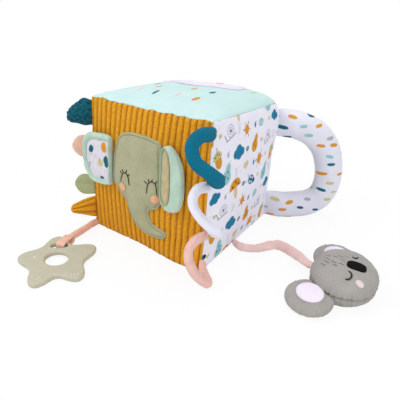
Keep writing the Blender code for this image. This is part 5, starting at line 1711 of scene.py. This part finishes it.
star_thickness = 5.5 * MM
star_rounding = 2.3 * MM
star_hole = 11 * MM
star_centre = np.array((-46.1 * MM, -156.2 * MM))
STAR_TURNS = np.array((-10, 71, 137, 214, 290)) * DEGREE
STAR_TIPS = np.array((41.5, 42, 41, 38, 43)) * MM
star_valley = 28 * MM
slot_distance = 22.5 * MM
slot_length = 16.5 * MM
slot_width = 8 * MM
fold_width = 10.4 * MM
star_tilt = math.asin(2.1 / 51)
STAR_ARM = np.array((math.cos(133 * DEGREE), math.sin(133 * DEGREE)))
STAR_ACROSS = np.array((-STAR_ARM[1], STAR_ARM[0]))
strap_loop_turn = 106 * DEGREE


# What is moulded on the star's face: place from its middle, turn in degrees, half length,
# half width and height, which are a dot, eight ridges and two small dots.
STAR_LUMPS = (
    (-17.5, -12.2, 0, 1.7, 1.7, 1.1),
    (5.8, -32.6, 112, 4.0, 0.65, 1.3), (7.4, -31.5, 114, 5.0, 0.65, 1.3), (9.1, -30.2, 116, 5.3, 0.65, 1.3),
    (10.9, -29.2, 114, 4.2, 0.65, 1.3), (12.8, -28.4, 110, 2.5, 0.65, 1.3), (28.7, -9.1, 128, 3.2, 0.65, 1.3),
    (31.3, -8.3, 131, 2.9, 0.65, 1.3), (33.6, -7.4, 129, 2.3, 0.65, 1.3),
    (35.4, -5.0, 0, 1.1, 1.1, 0.9), (25.8, -10.8, 0, 1.1, 1.1, 0.9),
)


def star_places(x, y, height):
    """Places on the star, which its strap's loop tips up a little."""
    rise = touch_gap + ((x * STAR_ARM[0] + y * STAR_ARM[1]) + star_valley) * math.sin(star_tilt)
    return np.stack(np.broadcast_arrays(star_centre[0] + x, star_centre[1] + y, rise + height), -1)


def star_reach(turn):
    """The star's outline at each turn round its middle."""
    first = STAR_TURNS[0]
    turn = (turn - first) % FULL_TURN + first
    tips = np.concatenate([STAR_TURNS, [first + FULL_TURN]])
    index = np.clip(np.searchsorted(tips, turn, side="right") - 1, 0, len(tips) - 2)
    before, after = tips[index], tips[index + 1]
    share = (turn - before) / (after - before)
    nearest = np.where(share < 0.5, index, index + 1) % len(STAR_TIPS)
    wave = (1 + np.cos(FULL_TURN * share)) / 2
    return star_valley + (STAR_TIPS[nearest] - star_valley) * wave**1.3


def star_lump(x, y, turn, reach_x, reach_y, height):
    """A low smooth lump moulded on the star's face, coloured paler as a painted highlight."""
    base = star_thickness - 0.45 * MM
    sides = all_round(24)
    rings = []
    for angle in np.linspace(-80, 80, 9) * DEGREE:
        along, aside = reach_x * math.cos(angle) * np.cos(sides), reach_y * math.cos(angle) * np.sin(sides)
        rings.append(star_places(x + along * math.cos(turn) - aside * math.sin(turn),
                                 y + along * math.sin(turn) + aside * math.cos(turn),
                                 base + height * math.sin(angle)))
    return closed_skin("star_ridges", rings, worn_silicone)


def joined(pieces):
    """Several mesh objects as one."""
    shell = bmesh.new()
    for piece in pieces:
        shell.from_mesh(piece.data)
    shell.to_mesh(pieces[0].data)
    shell.free()
    for piece in pieces[1:]:
        bpy.data.objects.remove(piece)
    return pieces[0]


def cut_away(piece, cutter):
    """Take the cutter's shape out of a piece."""
    modifier = piece.modifiers.new("cut", "BOOLEAN")
    modifier.object = cutter
    modifier.solver = "EXACT"
    baked(piece)
    bpy.data.objects.remove(cutter)


def moulded(piece, fineness, rounds):
    """Remake a piece as one evenly divided skin and soften its edges."""
    for kind, settings in (("REMESH", {"mode": "VOXEL", "voxel_size": fineness}),
                           ("SMOOTH", {"factor": 0.5, "iterations": rounds})):
        modifier = piece.modifiers.new(kind.lower(), kind)
        for setting, value in settings.items():
            setattr(modifier, setting, value)
    baked(piece)
    piece.data.shade_smooth()


def star_body():
    """The star's five arms round its hole, and the slot its strap goes through."""
    turn = all_round(240)
    outline = star_reach(turn)
    low = [(star_rounding * (1 - math.sin(share)), star_rounding * (1 - math.cos(share)))
           for share in np.linspace(0, math.pi / 2, 7)]
    profile = low + [(inset, star_thickness - height) for inset, height in low[::-1]]
    rings = [star_places((outline - inset) * np.cos(turn), (outline - inset) * np.sin(turn), height)
             for inset, height in profile]
    rings += [star_places((star_hole + inset) * np.cos(turn), (star_hole + inset) * np.sin(turn), height)
              for inset, height in profile[::-1]]
    star = hoop("star_silicone", rings, star_silicone)
    slot = []
    turn = all_round(48)
    aside = np.sign(np.cos(turn)) * (slot_length - slot_width) / 2 + np.cos(turn) * slot_width / 2
    along = slot_distance + np.sin(turn) * slot_width / 2
    edge = aside[:, None] * STAR_ACROSS + along[:, None] * STAR_ARM
    away = unit(edge - STAR_ARM * slot_distance)
    for height in np.linspace(-3, 9, 12) * MM:
        flare = 1.2 * MM * np.exp(-min(abs(height), abs(height - star_thickness)) / (1.2 * MM))
        slot.append(star_places(*(edge + away * flare).T, height))
    cut_away(star, closed_skin("slot_shape", slot, star_silicone))
    moulded(star, 0.62 * MM, 4)
    return star


def star_teether():
    """The silicone star, with what is moulded on its face."""
    star = star_body()
    ridges = joined([star_lump(x * MM, y * MM, turn * DEGREE, length * MM, width * MM, height * MM)
                     for x, y, turn, length, width, height in STAR_LUMPS])
    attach(ridges, "star")
    dressed(star, "star", "star_teether")


def strap_loop():
    """The strap's end, folded round the star's bar and sewn to itself."""
    hub = star_centre + STAR_ARM * (slot_distance + slot_width / 2) + STAR_ACROSS * -2 * MM
    away = np.array((math.cos(strap_loop_turn), math.sin(strap_loop_turn)))
    beside = np.array((-away[1], away[0]))
    low_box, high_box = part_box("star_strap_loop")
    low, high = low_box[2] + 0.2 * MM, high_box[2] - 0.1 * MM
    near, far = -4.5 * MM, 17.4 * MM
    wall = 2.5 * MM
    middle_run, middle_level = (near + far) / 2, (low + high) / 2
    half_run, half_level = (far - near) / 2 - wall / 2 + 0.2 * MM, (high - low) / 2 - wall / 2
    turn = all_round(140)
    squared = squared_off(turn, 4)
    flat = hub + away * (middle_run + np.cos(turn) * squared * half_run)[:, None]
    route = np.column_stack([flat, middle_level + np.sin(turn) * squared * half_level])
    ahead = unit(np.roll(route, -1, 0) - np.roll(route, 1, 0))
    wide = np.array((beside[0], beside[1], 0))
    deep = np.cross(ahead, wide)
    side = all_round(28)
    reach = squared_off(side, 2.3)
    rings = (route[:, None] + (np.cos(side) * reach * fold_width / 2)[None, :, None] * wide
             + (np.sin(side) * reach * wall / 2)[None, :, None] * deep[:, None])
    made = hoop("star_strap_fold", rings, star_strap_velour)
    dressed(made, "star_strap", "star_strap_loop")
    seam = hub + away * (far - 8 * MM)
    row = [(*(seam + beside * share * 3.4 * MM), high + 0.05 * MM) for share in np.linspace(-0.8, 0.8, 8)]
    stitched("star_strap_stitches", [row], rose_thread, 1.7 * MM, 1.3 * MM, 0.45 * MM, "star_strap")


# Koala

koala_spot = np.array((202.8 * MM, -21 * MM))
koala_length = 63 * MM
koala_breadth = 68 * MM
koala_seam = 18 * MM
koala_belly = 17 * MM
koala_top = 34.5 * MM
koala_tilt = 8 * DEGREE
dome_power = 2.5
KOALA_EARS = {"front": (-19.5 * MM, -41 * MM, 14 * MM), "back": (-15.5 * MM, 29 * MM, 11.5 * MM)}
koala_ear_radius = 23 * MM
koala_ear_half = 7.5 * MM


def koala_places(forward, aside, level):
    """Places on the koala's head, which leans a little to its near side."""
    high = level - koala_belly
    lean_y = aside * math.cos(koala_tilt) - high * math.sin(koala_tilt)
    lean_z = high * math.cos(koala_tilt) + aside * math.sin(koala_tilt)
    return np.stack(np.broadcast_arrays(
        koala_spot[0] + forward, koala_spot[1] + lean_y,
        np.maximum(koala_belly + lean_z, 0.2 * MM)), -1)


def dome_share(level, inset):
    """How wide the head is at a level, as a share of its widest."""
    above = koala_top - koala_belly - inset
    below = koala_belly + 0.5 * MM - inset
    high = (level - koala_belly) / (above if level > koala_belly else below)
    return max(1 - abs(high) ** dome_power, 0) ** (1 / dome_power)


def koala_ring(level, inset, sides, gather=0.0):
    """A ring round the head at a level, with gathers as deep as given."""
    turn = all_round(sides)
    share = dome_share(level, inset)
    around = turn * koala_length / 2
    wave = gather * ripple(around, 5.2 * MM, 17) * np.clip(share, 0, 1)
    forward = ((koala_length / 2 - inset) * share - wave) * np.cos(turn)
    aside = ((koala_breadth / 2 - inset) * share - wave) * np.sin(turn)
    return koala_places(forward, aside, level)


def koala_half(upper):
    """The face or the back of the head, from the middle of its inside to its outside."""
    sides = 220
    seam = koala_seam + (0.15 * MM if upper else -0.15 * MM)
    reach = koala_top - seam if upper else seam + 0.4 * MM
    shares = np.sin(np.linspace(0.0, 1.0, 46) * math.pi / 2)
    levels = seam + (reach * shares if upper else -reach * shares)
    outer = []
    for level in levels[:-1]:
        off = abs(level - seam)
        gather = 1.3 * MM * math.exp(-off / (6 * MM)) * min(1, 0.35 + off / (1.5 * MM))
        draw = 1.5 * MM * hump(off, 0, 1.3 * MM)
        outer.append(koala_ring(level, draw, sides, gather))
    outer = np.array(outer)
    swell = 0.7 * MM * rumple(outer, 24 * MM, 26)
    outer = outer + unit(outer - koala_places(0, 0, koala_belly)) * swell[..., None]
    inner = np.array([koala_ring(level, 1.4 * MM + 1.4 * MM * math.exp(-abs(level - seam) / (2 * MM)), sides)
                      for level in levels[:-3:3]])
    return inner[::-1], outer


def koala_head():
    """The head's face and back, sewn together low down with a gathered seam."""
    for upper, name, node in ((True, "koala_face", "koala_face_panel"),
                              (False, "koala_back", "koala_back_panel")):
        inner, outer = koala_half(upper)
        skin = np.concatenate([inner, outer])
        pins = np.zeros(skin.shape[:2])
        pins[: len(inner) + 2] = 1
        skin = stuffed(skin, 1, 2, pins, 2.5, 1.8 * MM, -0.05)
        skin[..., 2] = np.maximum(skin[..., 2], 0.2 * MM)
        made = closed_skin(name, skin, koala_velour)
        dressed(made, "koala", node)


def koala_wadding():
    """The head's filling, clear of the gathered seam."""
    levels = koala_belly + np.sin(np.linspace(-0.98, 0.98, 26) * math.pi / 2) * 12.5 * MM
    rings = [koala_ring(level, 5 * MM, 72) for level in levels]
    core = closed_skin("koala_head_wadding", rings, fibre_wadding)
    dressed(core, "koala", "koala_filling")


def head_shape():
    """The head's outside and a little more, to shape what is sewn on beside it."""
    levels = koala_belly + np.sin(np.linspace(-1, 1, 60) * math.pi / 2) * (koala_top - koala_belly)
    levels = np.where(levels < koala_belly, koala_belly + (levels - koala_belly) * 1.02, levels)
    rings = [koala_ring(level, -0.3 * MM, 120) for level in levels[1:-1]]
    return closed_skin("head_shape", rings, koala_velour)


patch_reach = 12.6 * MM
# Where each round patch is cut straight to meet the head, as a share of its radius
PATCH_CHORDS = {"front": -1, "back": -0.15}


def ear_half(share):
    """Half of an ear's thickness, at a share of its radius."""
    return koala_ear_half * (1 - np.clip(share, 0, 1) ** 2.3) ** (1 / 2.3)


def koala_ear(side_name, seed):
    """A stuffed round ear with its gathered edge, and the pale patch on it."""
    turn = all_round(170)
    around = turn * koala_ear_radius
    gather = ripple(around, 5.5 * MM, seed)

    def ring(radius, rise):
        """A ring round the ear's middle."""
        forward, aside, level = KOALA_EARS[side_name]
        return koala_places(forward + radius * np.cos(turn), aside + radius * np.sin(turn), level + rise)

    profile = np.sin(np.linspace(0.012, 1, 34) * math.pi / 2)
    rings = []
    for sign, shares in ((-1, profile), (1, profile[-2::-1])):
        for share in shares:
            seam = hump(share, 1, 0.05)
            deep = 1.0 * MM * math.exp(-(1 - share) / 0.18) * (1 - seam)
            radius = koala_ear_radius * share - seam * 0.6 * MM - deep * (0.5 + 0.5 * gather) * 0.8
            rise = ear_half(share) * (1 - 0.15 * hump(share, 0.66, 0.07) * (sign > 0))
            rise = rise - deep * (0.5 + 0.5 * gather)
            rings.append(ring(radius, sign * rise))
    rings = np.array(rings)
    rings = rings + 0.3 * MM * rumple(rings, 15 * MM, seed)[..., None] * UP
    rings[..., 2] = np.maximum(rings[..., 2], 0.3 * MM)
    ear = closed_skin("koala_" + side_name + "_ear_velour", rings, koala_velour)
    cut_away(ear, head_shape())
    ear.data.shade_smooth()
    dressed(ear, "koala", "koala_" + side_name + "_ear")
    upper, lower = [], []
    for share in np.linspace(0.012, 1, 26):
        radius = patch_reach * share
        over = ear_half(np.array(radius / koala_ear_radius))
        seam = hump(share, 1, 0.09)
        swell = 0.25 * MM * ripple(around * share, 9 * MM, seed + 1) * share * (1 - share) * 4
        upper.append(ring(radius, over + 1.4 * MM - 0.9 * MM * seam + swell))
        lower.append(ring(radius, over + 0.15 * MM))
    patch = closed_skin("koala_" + side_name + "_patch", lower + upper[::-1], lilac_velour)
    cut_away(patch, head_shape())
    patch.data.shade_smooth()
    dressed(patch, "koala", "koala_" + side_name + "_ear_patch")
    cut = patch_reach * np.stack([np.maximum(np.cos(turn), PATCH_CHORDS[side_name]), np.sin(turn)], 1)
    as_sheet(cut)


def on_koala(forward, aside, lift):
    """Places on the head's top."""
    forward, aside = np.asarray(forward, float), np.asarray(aside, float)
    spread = np.hypot(forward / (koala_length / 2), aside / (koala_breadth / 2))
    dome = (1 - np.clip(spread, 0, 1) ** dome_power) ** (1 / dome_power)
    level = koala_belly + (koala_top - koala_belly) * dome
    return koala_places(forward, aside, level + lift)


# The koala's closed eyes, its cheek and the short lines of its tuft, in millimetres from
# the head's middle.
KOALA_EYES = (
    ((4.2, -10.3), (6.4, -10.6), (8.1, -12.8), (8.5, -16.0), (7.3, -18.8), (4.4, -20.2)),
    ((2.0, 12.8), (3.9, 11.2), (5.7, 11.9), (6.9, 15.6)),
)
KOALA_CHEEK = (17.0, -17.3)
KOALA_TUFT = (
    ((-20.6, 4.8), (-15.7, 3.2)), ((-20.6, 0.2), (-15.5, -1.9)), ((-20.2, -4.3), (-14.2, -7.0)),
    ((-14.3, -2.9), (-8.7, -4.7)), ((-15.0, 5.2), (-9.6, 4.1)), ((-9.9, 7.9), (-3.6, 6.1)),
    ((-7.5, 3.2), (-1.9, 1.0)), ((-4.9, 9.9), (0.2, 9.3)), ((-6.7, -3.3), (-1.7, -3.7)),
    ((-11.1, -7.6), (-6.6, -8.2)), ((-21.5, -8.6), (-16.5, -11.2)),
)

# Rings of its cheek: share of its reach, and lift off the head in millimetres
KOALA_CHEEK_RINGS = (
    (0.02, 0.1), (0.7, 0.1), (1.0, 0.15), (1.02, 0.45), (0.93, 0.7), (0.5, 0.85), (0.02, 0.9),
)


def koala_face():
    """The nose, the sewn eyes, the cheek and the lines of the tuft."""
    turn = all_round(64)
    squared = squared_off(turn, 3)

    def nose_ring(share, lift):
        """A ring of the nose, a rounded rectangle in outline."""
        run = 9 * MM * share * squared * np.cos(turn)
        beside = 6 * MM * share * squared * np.sin(turn)
        lean = 8 * DEGREE
        return on_koala(9.2 * MM + run * math.cos(lean) - beside * math.sin(lean),
                        0.4 * MM + run * math.sin(lean) + beside * math.cos(lean), lift)

    rings = [nose_ring(share, 0.1 * MM) for share in (0.02, 0.4, 0.75, 0.97)]
    for angle in np.linspace(0, 89, 18) * DEGREE:
        lift = (0.3 + 1.9 * math.sin(angle) ** 0.75) * MM
        rings.append(nose_ring(math.cos(angle) ** 0.8 * 0.995 + 0.005, lift))
    nose = closed_skin("koala_nose_pad", rings, nose_velour)
    dressed(nose, "koala", "koala_nose")
    lines = [on_koala(*(np.array(eye) * MM).T, 0.2 * MM) for eye in KOALA_EYES]
    thread_line("koala_eyes", lines, 0.85 * MM, nose_thread, "koala")
    lines = [on_koala(*smooth_line(np.array(line) * MM, 4).T, 0.1 * MM) for line in KOALA_TUFT]
    thread_line("koala_tuft", lines, 0.4 * MM, grey_thread, "koala")
    rings = [on_koala((KOALA_CHEEK[0] + 3.8 * share * np.cos(turn)) * MM,
                      (KOALA_CHEEK[1] + 3.1 * share * np.sin(turn)) * MM, lift * MM)
             for share, lift in KOALA_CHEEK_RINGS]
    cheek = closed_skin("koala_cheek", rings, pale_felt)
    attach(cheek, "koala")


# Cloud on the top panel


cloud_reach = 47 * MM
CLOUD_CHEEK_RINGS = ((0.02, 1.5), (0.8, 1.6), (1.0, 1.7), (1.0, 2.0), (0.85, 2.3), (0.02, 2.4))


def top_cloud():
    """The white velour cloud sewn on the top panel, with its pink cheek."""
    turn = all_round(200)
    lobes = cloud_reach * (1 + 0.13 * np.abs(np.sin(3 * turn)))

    def ring(share, lift, x=-8 * MM, y=39 * MM, reach_x=1.08, reach_y=0.52, line=lobes):
        """A ring round a middle on the top panel."""
        px = x + line * share * reach_x * np.cos(turn)
        py = y + line * share * reach_y * np.sin(turn)
        flat = block_surface("top", px / half_side, py / half_side)
        return flat + UP * np.broadcast_to(lift, px.shape)[:, None]

    rings = [ring(share, 0.15 * MM) for share in (0.01, 0.3, 0.6, 0.9, 0.99)]
    for share in np.sin(np.linspace(1, 0.01, 40) * math.pi / 2):
        seam = hump(share, 1, 0.05)
        gather = ripple(turn * cloud_reach * share, 13 * MM, 8)
        rings.append(ring(share, 1.6 * MM * (1 - seam * 0.6) + 0.22 * MM * gather * share))
    cloud = closed_skin("cloud_velour", rings, lilac_velour)
    dressed(cloud, "block", "top_cloud")
    as_sheet(ring(1.0, 0.0)[:, :2])
    row = ring(0.955, 1.75 * MM)
    row = np.concatenate([row, row[:1]])
    stitched("cloud_stitches", [row], snow_thread, 2.8 * MM, 2.1 * MM, 0.5 * MM, "block")
    rings = [ring(share, lift * MM, 13 * MM, 42 * MM, 1.0, 1.0, 4.8 * MM)
             for share, lift in CLOUD_CHEEK_RINGS]
    cheek = closed_skin("cloud_cheek", rings, rose_velour)
    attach(cheek, "block")


# What stays as it is inside

INSIDE = {
    ("foam_core", "foam_plug"): plain_finish("open_foam", dye(236, 228, 196), 0.95, 0.8 * MM),
    ("elephant_wadding", "handle_filling"): fibre_wadding,
    ("left_ear_crinkle_film", "right_ear_crinkle_film"): plain_finish(
        "crinkle_film", dye(214, 218, 222), 0.25, 3 * MM),
    ("rattle_lower_shell", "rattle_upper_shell"): plain_finish(
        "capsule_plastic", dye(228, 228, 224), 0.4, 1.2 * MM),
    ("rattle_ball",): plain_finish("ball_steel", dye(178, 180, 184), 0.25, 0.6 * MM, 1.0),
}


def dress_inside():
    """Give every piece kept from the solid model its own procedural finish."""
    for names, finish in INSIDE.items():
        for name in names:
            for slot in bpy.data.objects[name].material_slots:
                slot.material = finish


# The whole block


def build_scene():
    """Dress every piece and set up the picture."""
    corduroy_front()
    printed_side()
    printed_top()
    plain_panels()
    straps()
    loops()
    handle()
    tags()
    elephant_head()
    elephant_face()
    elephant_ears()
    star_teether()
    strap_loop()
    koala_head()
    koala_wadding()
    koala_ear("front", 4)
    koala_ear("back", 9)
    koala_face()
    top_cloud()
    dress_inside()
    camera()
    studio()


build_scene()
